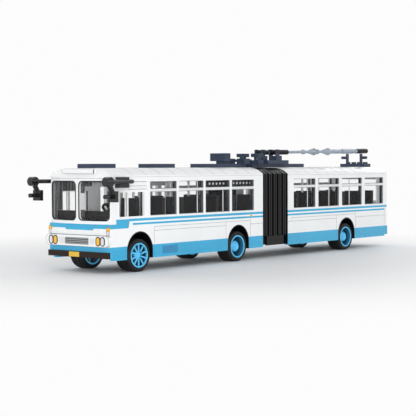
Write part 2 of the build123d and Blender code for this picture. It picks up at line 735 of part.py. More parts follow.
def pole_hooks():
    """Studded plate at the back of the roof with a post under each pole."""
    front, rear, half = HOOK_PLATE
    stand = block(front, rear, -half, half, ROOF_TOP, ROOF_TOP + PLATE)
    for y in HOOK_STUD_Y:
        stand += Pos(HOOK_STUD_X, y, ROOF_TOP + PLATE + STUD_H / 2 - 0.1) * Cylinder(STUD_R, STUD_H + 0.2)
    reach = POLE_PIVOT_X - HOOK_X
    top = POLE_PIVOT_Z + reach * tan(radians(POLE_TILT)) - SHOE_R - SEAT_GAP
    reach_y, arm_z = HOOK_ARM
    for side in (-1, 1):
        y = side * POLE_Y
        stand += rod((HOOK_X, y, ROOF_TOP + 1), (HOOK_X, y, top), 1.5)
        stand += rod((HOOK_X, y, arm_z), (HOOK_X, side * reach_y, arm_z), 1.4)
    return stand


# Rear end

BACK_WINDOW = (HALF_W - 10.0, 44.0, 66.0)
TAIL_LAMP = (HALF_W - 7.0, 3.2, 24.0, 30.0)


def rear_back():
    """White back panel with its window."""
    half, z0, z1 = BACK_WINDOW
    panel = block(REAR_END, REAR_END - BACK_T, -HALF_W, HALF_W, SKIRT_TOP, CANTRAIL)
    panel -= block(REAR_END + 1, REAR_END - FRAME_T, -half - 1, half + 1, z0 - 1, z1 + 1)
    return panel - block(REAR_END + 1, REAR_END - BACK_T - 1, -half, half, z0, z1)


def back_glass():
    """Rear window pane in its rebate."""
    half, z0, z1 = BACK_WINDOW
    return block(REAR_END - FRAME_T, REAR_END - FRAME_T + GLASS_T, -half - 1, half + 1, z0 - 1, z1 + 1)


def rear_bumper():
    """Blue band across the back."""
    return block(REAR_END, TAIL, -HALF_W, HALF_W, SKIRT_BOTTOM + 1.4, SKIRT_TOP)


def tail_lamps():
    """Red lamp on each side of the back."""
    y, half, z0, z1 = TAIL_LAMP
    return both(block(REAR_END - BACK_T, REAR_END - BACK_T - 1.0, y - half, y + half, z0, z1))


# Inside

def seat(x_front, y0, y1, z_floor):
    """Bench seat: an L-shaped section extruded across."""
    outline = [
        (x_front, z_floor), (x_front, CUSHION_TOP), (x_front - 10.0, CUSHION_TOP - 1.0), (x_front - 11.0, SEAT_TOP),
        (x_front - 14.2, SEAT_TOP), (x_front - 13.2, z_floor),
    ]
    return prism_y(outline, y0, y1)


OVER_WHEEL = ARCH_Z + ARCH_R + SEAT_GAP
# Seats as (front edge, floor height under it) for the left and right rows of each half
FRONT_SEATS = {
    1: [(-20.0, FLOOR_TOP), (-42.0, FLOOR_TOP), (-64.0, FLOOR_TOP), (-86.0, FLOOR_TOP), (-108.0, OVER_WHEEL),
        (-134.5, FLOOR_TOP)],
    -1: [(-45.0, FLOOR_TOP), (-61.0, FLOOR_TOP), (-108.0, OVER_WHEEL), (-134.5, FLOOR_TOP)],
}
REAR_SEATS = {
    1: [(-200.0, FLOOR_TOP), (-222.0, FLOOR_TOP), (-250.0, FLOOR_TOP), (-276.0, OVER_WHEEL), (-304.0, FLOOR_TOP),
        (-328.0, FLOOR_TOP)],
    -1: [(-231.0, FLOOR_TOP), (-250.0, FLOOR_TOP), (-276.0, OVER_WHEEL), (-304.0, FLOOR_TOP), (-328.0, FLOOR_TOP)],
}
SEAT_Y = (11.0, HALF_W - WALL_T - 1.0)
DRIVER_SEAT_X = 4.0
DRIVER_Y = (6.0, HALF_W - 10.0)
SEAT_TOP = 55.0
CUSHION_TOP = 36.0


def seats(rows):
    """All benches of one half."""
    found = []
    for side, places in rows.items():
        for x, z_floor in places:
            found.append(seat(x, side * SEAT_Y[0], side * SEAT_Y[1], z_floor))
    return found


# Upright bars of each half as (X, Y)
FRONT_RAILS = [(-17.5, 9.0), (-61.0, 9.0), (-104.0, 9.0), (-43.4, -9.0), (-76.6, -9.0), (-104.4, -9.0)]
REAR_RAILS = [(-218.0, 9.0), (-246.0, 9.0), (-299.0, 9.0), (-201.4, -9.0), (-229.6, -9.0), (-299.0, -9.0)]


def handrails(places):
    """Upright bars from floor to ceiling."""
    low, high = FLOOR_TOP, ROOF_TOP - ROOF_T
    return gather([rod((x, y, low), (x, y, high), RAIL_R) for x, y in places])


DESK_X = (0.4, 6.0, 11.0)
DESK_TOP = 46.0
DESK_LIP = 42.0
STEERING_HUB = (13.4, sum(DRIVER_Y) / 2, 46.6)
STEERING_R = 6.9
STEERING_RIM = 1.5
STEERING_TILT = 45


def dashboard():
    """Cab front with the steering column and wheel."""
    half = HALF_W - WALL_T - SEAT_GAP
    back, edge, face = (MASK_BACK - depth for depth in DESK_X)
    outline = [(back, FLOOR_TOP), (back, DESK_TOP), (edge, DESK_TOP), (face, DESK_LIP), (face, FLOOR_TOP)]
    desk = prism_y(outline, -half, half)
    x, y, z = STEERING_HUB
    desk += rod((edge - 2, y, DESK_LIP - 2), STEERING_HUB, BAR_R)
    plane = Pos(x, y, z) * Rot(0, -STEERING_TILT, 0)
    desk += plane * (Cylinder(STEERING_R, STEERING_RIM) - Cylinder(STEERING_R - STEERING_RIM, 2 * STEERING_RIM))
    for turn in (0, 120, 240):
        desk += plane * Rot(0, 0, turn) * Pos(STEERING_R / 2 - 0.4, 0, 0) * Box(STEERING_R - 0.8, 1.2, 1.0)
    return desk


# Wheels

def cross_axle(axle):
    """Cross-shaped axle through both wheels."""
    length = 2 * (WHEEL_OUTER - AXLE_END)
    arms = Box(2 * PIN_R, length, 1.8) + Box(1.8, length, 2 * PIN_R)
    bar = Rot(90, 0, 0) * Cylinder(PIN_R, length)
    return Pos(axle, 0, TYRE_R) * (arms & bar)


def wheel_profile(points):
    """Revolves (distance from the outer face, radius) points about the wheel's axis, left side."""
    outline = [(WHEEL_OUTER - depth, radius) for depth, radius in points]
    face = make_face(Polyline(*outline, close=True))
    return Rot(0, 0, 90) * revolve(face, Axis.X)


def wheel_plane(depth):
    """Plane across the left wheel at a distance in from its outer face."""
    return Plane((0, WHEEL_OUTER - depth, 0), x_dir=(0, 0, 1), z_dir=(0, -1, 0))


def tyre(axle):
    """Rubber tyre as a many-sided ring with bevelled shoulders, bored for the rim."""
    low = TYRE_R - TYRE_SHOULDER
    # Sections as (depth, radius)
    table = [(0.0, low), (TYRE_SHOULDER, TYRE_R), (TYRE_W - TYRE_SHOULDER, TYRE_R), (TYRE_W, low)]
    sections = [wheel_plane(depth) * RegularPolygon(radius, TYRE_SIDES) for depth, radius in table]
    bore = RegularPolygon(RIM_R + 0.02, TYRE_SIDES, major_radius=False)
    ring = loft(sections, ruled=True) - extrude(wheel_plane(-1) * bore, TYRE_W + 2)
    return Pos(axle, 0, TYRE_R) * ring


AXLE_END = 4.2
HUB_R = 3.4
DISH = 8.6
# Hub face of the dished rims as (depth, radius), from the rim of the hub to its middle
DISH_HUB = [(3.2, 4.5), (2.4, 3.6), (3.2, 2.8), (3.2, 1.6), (2.2, 1.3)]


def rim(axle, spoked):
    """Blue rim: an open wheel of spokes at the front axle, a deep dish with a ringed hub elsewhere."""
    lip, inner, back = 0.3, RIM_R - 1.0, TYRE_W - 0.3
    bore = [(AXLE_END - 0.1, 0.0), (AXLE_END - 0.1, RIM_BORE_R), (back, RIM_BORE_R)]
    if not spoked:
        dish = [(back, RIM_R), (lip, RIM_R), (lip, inner), (DISH, inner - 0.9), (DISH, 4.9), *DISH_HUB, (2.2, 0.0)]
        return Pos(axle, 0, TYRE_R) * wheel_profile(dish + bore)
    shape = wheel_profile([(lip, RIM_R), (lip, inner), (back, inner), (back, RIM_R)])
    shape += wheel_profile([(back, HUB_R), (2.4, HUB_R), (1.8, HUB_R - 0.8), (1.8, 0.0), *bore])
    span = inner - HUB_R + 0.6
    for i in range(SPOKES):
        spoke = Pos((inner + HUB_R) / 2, 0, 0) * Box(span, 1.2, 2.6)
        shape += wheel_plane(2.2) * Rot(0, 0, 360 * i / SPOKES) * spoke
    return Pos(axle, 0, TYRE_R) * shape


def write_all():
    """Builds every node and writes it to its own file."""
    os.makedirs("parts", exist_ok=True)
    front_axles, rear_axles = (0.0, MIDDLE_AXLE), (REAR_AXLE,)
    front_doors = [DOORWAYS["front"], DOORWAYS["middle"]]
    rear_doors = [DOORWAYS["rear"]]

    # Front half
    save("front_floor", front_floor())
    save("front_wheel_wells", wheel_wells(front_axles))
    save("front_wall_left", side_wall(MASK_BACK, FRONT_END, FRONT_LEFT_WINDOWS, front_axles, 1, cab=True))
    save("front_wall_right",
         side_wall(MASK_BACK, FRONT_END, FRONT_RIGHT_WINDOWS, front_axles, -1, cab=True, doorways=front_doors))
    save("front_roof", roof(FRONT_FACE, FRONT_END, nose=7.0) + visor())
    save("front_mask", front_mask())
    save("front_blue_trim", gather([
        skirt(MASK_BACK, FRONT_END, front_axles, 1), skirt(MASK_BACK, FRONT_END, front_axles, -1, front_doors),
        belt_front(), belt_corner(1), belt_corner(-1), apron(),
    ]))
    save("front_bumper", block(FRONT_FACE, FRONT_FACE + BUMPER_T, -HALF_W, HALF_W, *BUMPER_Z))
    save("headlamp_bezel", headlamp_bezel())
    save("grille", grille())
    save("lamps_clear", lamps("clear"))
    save("lamps_amber", lamps("amber"))
    cab_pane = [block(*CAB_WINDOW, s * (HALF_W - FRAME_T), s * (HALF_W - FRAME_T - GLASS_T), SILL, CAB_HEAD)
                for s in (-1, 1)]
    save("front_glazing", gather([
        *windscreen(), *cab_pane, *side_glass(FRONT_LEFT_WINDOWS, 1), *side_glass(FRONT_RIGHT_WINDOWS, -1)]))
    save("front_roof_gear", front_roof_gear())
    save("dashboard", dashboard())
    driver = seat(DRIVER_SEAT_X, *DRIVER_Y, OVER_WHEEL)
    save("front_seats", gather([driver, *seats(FRONT_SEATS)]))
    save("front_handrails", handrails(FRONT_RAILS))
    save("mirrors", both(mirror_unit()))

    # Bellows
    for i in range(HOOPS):
        save(f"bellows_hoop_{i + 1}", hoop(i))

    # Rear half
    save("rear_floor", rear_floor())
    save("rear_wheel_wells", wheel_wells(rear_axles))
    save("rear_wall_left", side_wall(REAR_START, REAR_END, REAR_LEFT_WINDOWS, rear_axles, 1))
    save("rear_wall_right", side_wall(REAR_START, REAR_END, REAR_RIGHT_WINDOWS, rear_axles, -1, doorways=rear_doors))
    save("rear_roof", roof(REAR_START, REAR_END - BACK_T, tail=7.0))
    save("rear_back", rear_back())
    save("rear_blue_trim", gather([
        skirt(REAR_START, REAR_END, rear_axles, 1), skirt(REAR_START, REAR_END, rear_axles, -1, rear_doors),
        rear_bumper()]))
    save("tail_lamps", tail_lamps())
    save("rear_glazing", gather([
        back_glass(), *side_glass(REAR_LEFT_WINDOWS, 1), *side_glass(REAR_RIGHT_WINDOWS, -1)]))
    save("rear_seats", gather(seats(REAR_SEATS)))
    save("rear_handrails", handrails(REAR_RAILS))
    save("trolley_base", gather([trolley_base(), pole_hooks()]))

    # Doors
    for half, jamb in DOORWAYS.items():
        for place, (axis_x, reach) in zip(("fore", "aft"), leaf_axes(jamb)):
            leaf, pane = door_leaf(axis_x, reach)
            save(f"{half}_door_{place}", leaf)
            save(f"{half}_door_{place}_glass", pane)

    # Trolley poles
    for name, side in (("left", 1), ("right", -1)):
        for part in ("bar", "fittings"):
            shape = pole(part)
            save(f"pole_{name}_{part}", shape if side > 0 else mirrored(shape))

    # Wheels
    for name, axle in (("front", 0.0), ("middle", MIDDLE_AXLE), ("rear", REAR_AXLE)):
        save(f"{name}_axle", cross_axle(axle))
        save(f"{name}_rims", both(rim(axle, name == "front")))
        save(f"{name}_tyres", both(tyre(axle)))


write_all()
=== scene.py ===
"""Looks of the brick-built toy articulated trolleybus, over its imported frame."""
import json
from math import cos, pi, radians, sin, sqrt

import bmesh
import bpy
from mathutils import Matrix, Vector


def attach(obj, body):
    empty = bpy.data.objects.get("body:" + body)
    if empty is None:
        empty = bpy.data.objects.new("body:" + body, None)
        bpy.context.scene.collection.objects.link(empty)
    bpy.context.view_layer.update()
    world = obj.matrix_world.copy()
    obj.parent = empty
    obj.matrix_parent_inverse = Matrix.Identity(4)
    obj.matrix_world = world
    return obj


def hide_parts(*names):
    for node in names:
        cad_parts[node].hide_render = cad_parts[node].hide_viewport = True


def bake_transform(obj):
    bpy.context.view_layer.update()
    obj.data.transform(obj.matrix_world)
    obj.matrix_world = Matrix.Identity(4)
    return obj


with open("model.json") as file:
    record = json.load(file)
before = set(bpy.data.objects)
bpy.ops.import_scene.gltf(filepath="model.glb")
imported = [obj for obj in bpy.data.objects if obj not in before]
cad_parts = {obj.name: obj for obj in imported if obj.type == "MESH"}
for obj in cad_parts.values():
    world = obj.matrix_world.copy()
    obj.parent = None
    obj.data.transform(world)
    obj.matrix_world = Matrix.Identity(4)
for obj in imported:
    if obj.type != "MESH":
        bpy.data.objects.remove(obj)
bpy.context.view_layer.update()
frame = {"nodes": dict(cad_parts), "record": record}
nodes = frame["nodes"]

# Tables are in millimetres from the front axle, X forward, Y to the bus's left, Z up from the ground
SHIFT = 157.55
MM = 0.001
SIDES = ((1, "left"), (-1, "right"))
HALF_W = 32.0
SILL, BAR_LOW, BAR_HIGH, HEAD = 42.0, 60.1, 62.1, 67.8
FRONT_END, REAR_START = -154.0, -190.8
FRONT_FACE, BEZEL_FACE, BUMPER_FACE, BACK_FACE = 32.0, 35.0, 33.8, -359.2
MASK_BACK, WALL_INNER = 28.0, 28.0
SKIRT_TOP = 20.0
BOW_R, BOW_CROWN = 144.0, 34.0
FRONT_AXLE, MIDDLE_AXLE, REAR_AXLE = 0.0, -120.0, -285.6
AXLES = {"front": [FRONT_AXLE, MIDDLE_AXLE], "rear": [REAR_AXLE]}
WHEEL_OUTER, TYRE_R = 31.5, 12.5
# Doorways of the right side as (front, rear)
DOOR_SPANS = {"front": [(-16.5, -41.5), (-78.0, -103.0)], "rear": [(-203.0, -228.0)]}
HOOP_NODES = [f"bellows_hoop_{k}" for k in range(1, 6)]


def place(x, y, z):
    """Row-frame point in metres of a point in the tables."""
    return Vector(((x + SHIFT) * MM, y * MM, z * MM))


# Materials, with the scales of their noise per metre
TONE_SCALE, FINE_TONE_SCALE, ROUGH_SCALE, GRAIN_SCALE, STREAK_SCALE = 45.0, 60.0, 140.0, 900.0, 500.0
RELIEF = 0.1
WHITE = (0.86, 0.87, 0.87)
AZURE = (0.03, 0.39, 0.65)
RIM_FACE = (0.10, 0.52, 0.85)
# Painted shade for the hollows of the rims
RIM_PAINTED_SHADE = (0.006, 0.035, 0.07)
# Painted shade for the rebates round the panes
REVEAL_PAINTED_SHADE = (0.020, 0.021, 0.022)
# Painted shade in the hollows of the rims as (depth from the outer face, share), and the radius of the hubs
# that it leaves free
RIM_DEPTH = 14.0
SPOKE_SHADOWS = [(0.0, 0.0), (0.95, 0.0), (1.5, 0.75), (3.0, 1.0), (12.6, 1.0), (13.2, 0.0)]
DISH_SHADOWS = [(0.0, 0.0), (0.6, 0.0), (0.9, 0.75), (3.4, 0.85), (4.2, 0.95), (12.6, 0.95), (13.2, 0.0)]
SPOKE_HUB_R, DISH_HUB_R = 3.45, 4.7
# Stripes along the sides as (low, high, rear end, front end)
STRIPES = [(35.6, 37.1, -354.8, 8.0), (38.5, 40.4, -359.3, 11.2)]
PRINT_DEPTH = 0.4
# Painted shade in the rebates of the panes: where it lies across the wall, and how far the paint leaves them
# free at sills and doorways
REVEAL_SHADE_Y, REVEAL_SHADE_SPARE, DOOR_SPARE = (28.05, 29.98), 0.1, 1.0
# How far behind the bar faces of the grille the painted shade of its grooves begins
GRILLE_DEPTH = 0.4
STREAK_DRAW = 0.05


def graph(name):
    """New material with its node tree, shader and object coordinates."""
    material = bpy.data.materials.new(name)
    material.use_nodes = True
    tree = material.node_tree
    shader = tree.nodes["Principled BSDF"]
    coords = tree.nodes.new("ShaderNodeTexCoord")
    return material, tree, shader, coords.outputs["Object"]


def noise(tree, coords, scale, detail=3.0):
    """Noise value at a scale per metre."""
    node = tree.nodes.new("ShaderNodeTexNoise")
    node.inputs["Scale"].default_value = scale
    node.inputs["Detail"].default_value = detail
    tree.links.new(coords, node.inputs["Vector"])
    return node.outputs["Fac"]


def spread(tree, value, low, high):
    """Value mapped from the middle of the noise to a range."""
    node = tree.nodes.new("ShaderNodeMapRange")
    node.inputs["From Min"].default_value = 0.3
    node.inputs["From Max"].default_value = 0.7
    node.inputs["To Min"].default_value = low
    node.inputs["To Max"].default_value = high
    tree.links.new(value, node.inputs["Value"])
    return node.outputs["Result"]


def mix(tree, factor, a, b):
    """Colour a where the factor is 0 and b where it is 1; each is a colour or a socket."""
    node = tree.nodes.new("ShaderNodeMix")
    node.data_type = "RGBA"
    tree.links.new(factor, node.inputs["Factor"])
    for socket, value in (("A", a), ("B", b)):
        target = [s for s in node.inputs if s.name == socket and s.type == "RGBA"][0]
        if isinstance(value, tuple):
            target.default_value = (*value, 1.0)
        else:
            tree.links.new(value, target)
    return [s for s in node.outputs if s.type == "RGBA"][0]


def math(tree, operation, a, b):
    """One math node on two values or sockets."""
    node = tree.nodes.new("ShaderNodeMath")
    node.operation = operation
    for socket, value in zip(node.inputs, (a, b)):
        if isinstance(value, (int, float)):
            socket.default_value = value
        else:
            tree.links.new(value, socket)
    return node.outputs[0]


def split(tree, coords):
    """X, Y and Z of the coordinates."""
    parts = tree.nodes.new("ShaderNodeSeparateXYZ")
    tree.links.new(coords, parts.inputs[0])
    return parts.outputs


def band(tree, value, low, high):
    """1 between two limits, 0 outside."""
    above = math(tree, "GREATER_THAN", value, low)
    return math(tree, "MULTIPLY", above, math(tree, "LESS_THAN", value, high))


def seen_by_eye(tree):
    """1 for rays from the camera, and for what gloss and clear plastic show of the backdrop."""
    path = tree.nodes.new("ShaderNodeLightPath")
    seen = math(tree, "MAXIMUM", path.outputs["Is Camera Ray"], path.outputs["Is Glossy Ray"])
    return math(tree, "MAXIMUM", seen, path.outputs["Is Transmission Ray"])


def shade(colour, factor):
    """Colour made lighter or darker."""
    return tuple(min(1.0, c * factor) for c in colour)


def toned(tree, coords, scale, *ranges):
    """Colours that vary over the surface, each given as (colour, darkest, lightest)."""
    tone = spread(tree, noise(tree, coords, scale), 0.0, 1.0)
    return [mix(tree, tone, shade(colour, low), shade(colour, high)) for colour, low, high in ranges]


def surface(tree, shader, coords, rough, grain, bump):
    """Roughness that varies over the surface, and a fine moulded grain."""
    roughness = spread(tree, noise(tree, coords, ROUGH_SCALE), rough * 0.8, rough * 1.3)
    tree.links.new(roughness, shader.inputs["Roughness"])
    relief = tree.nodes.new("ShaderNodeBump")
    relief.inputs["Strength"].default_value = bump
    relief.inputs["Distance"].default_value = RELIEF * MM
    tree.links.new(noise(tree, coords, grain), relief.inputs["Height"])
    tree.links.new(relief.outputs["Normal"], shader.inputs["Normal"])


def plastic(name, colour, rough=0.25, grain=GRAIN_SCALE, bump=0.05, vary=0.05, coat=0.0, gloss=0.5):
    """Moulded plastic with slight changes of tone."""
    material, tree, shader, coords = graph(name)
    paint, = toned(tree, coords, TONE_SCALE, (colour, 1 - vary, 1 + vary))
    tree.links.new(paint, shader.inputs["Base Color"])
    surface(tree, shader, coords, rough, grain, bump)
    shader.inputs["Coat Weight"].default_value = coat
    shader.inputs["Specular IOR Level"].default_value = gloss
    return material


def off_axle(tree, x, z, axle, radius):
    """1 farther from an axle than the radius, 0 on the hub."""
    along = math(tree, "SUBTRACT", x, (axle + SHIFT) * MM)
    rise = math(tree, "SUBTRACT", z, TYRE_R * MM)
    square = math(tree, "ADD", math(tree, "MULTIPLY", along, along), math(tree, "MULTIPLY", rise, rise))
    return math(tree, "GREATER_THAN", square, (radius * MM) ** 2)


def rim_plastic(name, shadows, axle, hub_r):
    """Wheel plastic with painted shade in its hollows, round a hub left free of it."""
    material, tree, shader, coords = graph(name)
    x, y, z = split(tree, coords)
    depth = tree.nodes.new("ShaderNodeMapRange")
    depth.inputs["From Min"].default_value = WHEEL_OUTER * MM
    depth.inputs["From Max"].default_value = (WHEEL_OUTER - RIM_DEPTH) * MM
    tree.links.new(math(tree, "ABSOLUTE", y, 0.0), depth.inputs["Value"])
    ramp = tree.nodes.new("ShaderNodeValToRGB")
    while len(ramp.color_ramp.elements) < len(shadows):
        ramp.color_ramp.elements.new(1.0)
    for stop, (down, dark) in zip(ramp.color_ramp.elements, shadows):
        stop.position = down / RIM_DEPTH
        stop.color = (dark, dark, dark, 1.0)
    tree.links.new(depth.outputs["Result"], ramp.inputs["Fac"])
    # Share of painted shade, by depth into the wheel and left off the hub
    dark = math(tree, "MULTIPLY", ramp.outputs["Color"], off_axle(tree, x, z, axle, hub_r))
    face, = toned(tree, coords, FINE_TONE_SCALE, (RIM_FACE, 0.95, 1.05))
    tree.links.new(mix(tree, dark, face, RIM_PAINTED_SHADE), shader.inputs["Base Color"])
    surface(tree, shader, coords, 0.22, GRAIN_SCALE, 0.04)
    return material


def reveal_shade_mask(tree, x, y, z, doors):
    """1 where the rebates that hold the panes of a wall get painted shade, 0 elsewhere and at its doorways.
    """
    deep = band(tree, math(tree, "ABSOLUTE", y, 0.0), REVEAL_SHADE_Y[0] * MM, REVEAL_SHADE_Y[1] * MM)
    level = band(tree, z, (SILL - REVEAL_SHADE_SPARE) * MM, (HEAD + REVEAL_SHADE_SPARE) * MM)
    found = math(tree, "MULTIPLY", deep, level)
    for front, rear in doors:
        doorway = band(tree, x, (rear - DOOR_SPARE + SHIFT) * MM, (front + DOOR_SPARE + SHIFT) * MM)
        found = math(tree, "MULTIPLY", found, math(tree, "SUBTRACT", 1.0, doorway))
    return found


def livery(name, doors=None):
    """White plastic with the two printed stripes on the outside and the blue foot of the doors.

    A wall, which names its doors, also has painted shade in the rebates round its panes.
    """
    material, tree, shader, coords = graph(name)
    x, y, z = split(tree, coords)
    outside = math(tree, "GREATER_THAN", math(tree, "ABSOLUTE", y, 0.0), (HALF_W - PRINT_DEPTH) * MM)
    blue = math(tree, "LESS_THAN", z, SKIRT_TOP * MM)
    for low, high, rear, front in STRIPES:
        stripe = band(tree, z, low * MM, high * MM)
        along = band(tree, x, (rear + SHIFT) * MM, (front + SHIFT) * MM)
        blue = math(tree, "MAXIMUM", blue, math(tree, "MULTIPLY", stripe, along))
    blue = math(tree, "MULTIPLY", blue, outside)
    white, azure = toned(tree, coords, TONE_SCALE, (WHITE, 0.97, 1.02), (AZURE, 0.95, 1.06))
    paint = mix(tree, blue, white, azure)
    if doors is not None:
        # Painted shade in the rebates round the panes
        paint = mix(tree, reveal_shade_mask(tree, x, y, z, doors), paint, REVEAL_PAINTED_SHADE)
    tree.links.new(paint, shader.inputs["Base Color"])
    surface(tree, shader, coords, 0.2, GRAIN_SCALE, 0.04)
    return material


def grille_plastic(name, face, groove_painted_shade):
    """Grey bars with painted shade in the grooves behind their faces."""
    material, tree, shader, coords = graph(name)
    x, _, _ = split(tree, coords)
    # Painted shade: everything deeper than the bar faces takes the dark groove colour
    front = math(tree, "GREATER_THAN", x, (BEZEL_FACE - GRILLE_DEPTH + SHIFT) * MM)
    bars, = toned(tree, coords, FINE_TONE_SCALE, (face, 0.93, 1.07))
    tree.links.new(mix(tree, front, groove_painted_shade, bars), shader.inputs["Base Color"])
    surface(tree, shader, coords, 0.4, GRAIN_SCALE, 0.05)
    return material


def streaked_plastic(name, dark, pale):
    """Smoked plastic with upright flow streaks."""
    material, tree, shader, coords = graph(name)
    drawn = tree.nodes.new("ShaderNodeVectorMath")
    drawn.operation = "MULTIPLY"
    drawn.inputs[1].default_value = (1.0, 1.0, STREAK_DRAW)
    tree.links.new(coords, drawn.inputs[0])
    streaks = spread(tree, noise(tree, drawn.outputs[0], STREAK_SCALE), 0.0, 1.0)
    tree.links.new(mix(tree, streaks, dark, pale), shader.inputs["Base Color"])
    surface(tree, shader, coords, 0.3, GRAIN_SCALE, 0.05)
    return material


def clear(name, tint, alpha):
    """Clear moulded plastic with faint moulding streaks."""
    material, tree, shader, coords = graph(name)
    paint, = toned(tree, coords, 70.0, (tint, 0.85, 1.15))
    tree.links.new(paint, shader.inputs["Base Color"])
    surface(tree, shader, coords, 0.04, 120.0, 0.02)
    shader.inputs["Alpha"].default_value = alpha
    shader.inputs["Specular IOR Level"].default_value = 0.5
    return material


def mirror_metal(name, dark, pale):
    """Bright mirror film."""
    material, tree, shader, coords = graph(name)
    shader.inputs["Metallic"].default_value = 1.0
    tone = spread(tree, noise(tree, coords, 200.0), 0.0, 1.0)
    tree.links.new(mix(tree, tone, dark, pale), shader.inputs["Base Color"])
    surface(tree, shader, coords, 0.06, 400.0, 0.01)
    return material


LOOKS = {
    "white": livery("white_livery"),
    # Walls with painted shade in the rebates round their panes
    "left_wall": livery("left_wall_livery", doors=[]),
    "right_wall": livery("right_wall_livery", doors=DOOR_SPANS["front"] + DOOR_SPANS["rear"]),
    "azure": plastic("azure_plastic", AZURE, 0.22, coat=0.2),
    # Rims with painted shade in their hollows
    "rim": rim_plastic("spoked_rim", SPOKE_SHADOWS, FRONT_AXLE, SPOKE_HUB_R),
    "middle_dish": rim_plastic("middle_dish", DISH_SHADOWS, MIDDLE_AXLE, DISH_HUB_R),
    "rear_dish": rim_plastic("rear_dish", DISH_SHADOWS, REAR_AXLE, DISH_HUB_R),
    "slate": plastic("slate_plastic", (0.030, 0.044, 0.078), 0.35, gloss=0.28),
    "black": plastic("black_plastic", (0.004, 0.004, 0.005), 0.36, vary=0.2, gloss=0.16),
    "hoop": plastic("hoop_plastic", (0.004, 0.004, 0.004), 0.2, vary=0.2, gloss=0.22),
    "gloss_black": plastic("glossy_black_plastic", (0.005, 0.005, 0.006), 0.22, vary=0.2, gloss=0.5),
    "bumper": plastic("bumper_plastic", (0.016, 0.007, 0.005), 0.32, vary=0.2, gloss=0.22),
    "seat": plastic("seat_plastic", (0.010, 0.005, 0.004), 0.4, vary=0.2, gloss=0.18),
    "grey": plastic("grey_plastic", (0.12, 0.13, 0.14), 0.4),
    # Grille with painted shade in its grooves
    "grille": grille_plastic("grille_plastic", (0.30, 0.31, 0.31), (0.012, 0.012, 0.013)),
    "smoked": streaked_plastic("smoked_plastic", (0.006, 0.006, 0.007), (0.26, 0.26, 0.26)),
    "pole": plastic("pole_plastic", (0.30, 0.35, 0.42), 0.28),
    "rail": plastic("rail_plastic", (0.72, 0.73, 0.74), 0.25),
    "pane": clear("clear_pane", (0.30, 0.34, 0.36), 0.03),
    "lamp": clear("clear_lamp", (0.84, 0.85, 0.86), 0.9),
    "amber": plastic("amber_lens", (0.90, 0.47, 0.03), 0.15, coat=0.4),
    "red": plastic("red_lens", (0.55, 0.01, 0.01), 0.15, coat=0.5),
    "yellow": plastic("yellow_plate", (0.74, 0.47, 0.04), 0.3),
    "tyre": plastic("tyre_rubber", (0.008, 0.008, 0.009), 0.6, grain=600.0, bump=0.25, vary=0.15, gloss=0.3),
    "axle": plastic("axle_plastic", (0.03, 0.03, 0.032), 0.35),
    "seam": plastic("seam_shadow", (0.07, 0.075, 0.08), 0.6, gloss=0.2),
    "joint": plastic("joint_shadow", (0.24, 0.25, 0.26), 0.6, gloss=0.2),
    "vent": plastic("vent_plastic", (0.03, 0.27, 0.50), 0.3),
    "mirror": mirror_metal("mirror_film", (0.80, 0.82, 0.84), (0.90, 0.91, 0.92)),
}

# Looks of the record's material slots that have another name there
SLOT_LOOK = {"rim_azure": "rim", "pole_grey": "pole", "clear": "pane"}
# Nodes with a look of their own
NODE_LOOK = {
    "middle_rims": "middle_dish", "rear_rims": "rear_dish", "grille": "grille", "mirrors": "gloss_black",
    "front_wall_left": "left_wall", "rear_wall_left": "left_wall",
    "front_wall_right": "right_wall", "rear_wall_right": "right_wall",
    **{node: "hoop" for node in HOOP_NODES},
}
# Nodes by the ends of their names that get no bevel, because they are round
ROUND = ("tyres", "rims", "bar", "fittings", "axle")
EDGE_W, EDGE_ANGLE = 0.18, radians(35)

for part in frame["record"]["subparts"]:
    thing = nodes[part["node"]]
    slot = part["material_slot"]
    look = NODE_LOOK.get(part["node"], SLOT_LOOK.get(slot, slot))
    thing.data.materials.clear()
    thing.data.materials.append(LOOKS[look])
    if not part["node"].endswith(ROUND):
        edge = thing.modifiers.new("edge", "BEVEL")
        edge.width = EDGE_W * MM
        edge.segments = 2
        edge.limit_method = "ANGLE"
        edge.angle_limit = EDGE_ANGLE


# Mesh helpers

def piece(name, bm, look, body, bevel=0.0, smooth=False):
    """Object from a bmesh in metres that rides on a body."""
    bmesh.ops.recalc_face_normals(bm, faces=bm.faces[:])
    mesh = bpy.data.meshes.new(name)
    bm.to_mesh(mesh)
    bm.free()
    if smooth:
        for face in mesh.polygons:
            face.use_smooth = True
    thing = bpy.data.objects.new(name, mesh)
    bpy.context.scene.collection.objects.link(thing)
    mesh.materials.append(LOOKS[look])
    if bevel:
        edge = thing.modifiers.new("edge", "BEVEL")
        edge.width = bevel * MM
        edge.segments = 2
    if body:
        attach(thing, body)
    return thing


def add_box(bm, x0, x1, y0, y1, z0, z1):
    """Box between two corners of the tables."""
    lo = place(min(x0, x1), min(y0, y1), min(z0, z1))
    hi = place(max(x0, x1), max(y0, y1), max(z0, z1))
    for v in bmesh.ops.create_cube(bm, size=1.0)["verts"]:
        v.co = Vector((lo[i] + (v.co[i] + 0.5) * (hi[i] - lo[i]) for i in range(3)))


def add_side_box(bm, side, x0, x1, sunk, proud, z0, z1):
    """Box on a side of the bus, from below the face of the wall to above it."""
    add_box(bm, x0, x1, side * (HALF_W - sunk), side * (HALF_W + proud), z0, z1)


def skin(bm, rings, closed=False):
    """Faces from ring to ring of points; a run of rings is closed into a loop or filled at its ends."""
    for a, b in zip(rings, rings[1:] + (rings[:1] if closed else [])):
        for k in range(len(a)):
            bm.faces.new((a[k - 1], a[k], b[k], b[k - 1]))
    if not closed:
        bm.faces.new(rings[0])
        bm.faces.new(rings[-1])


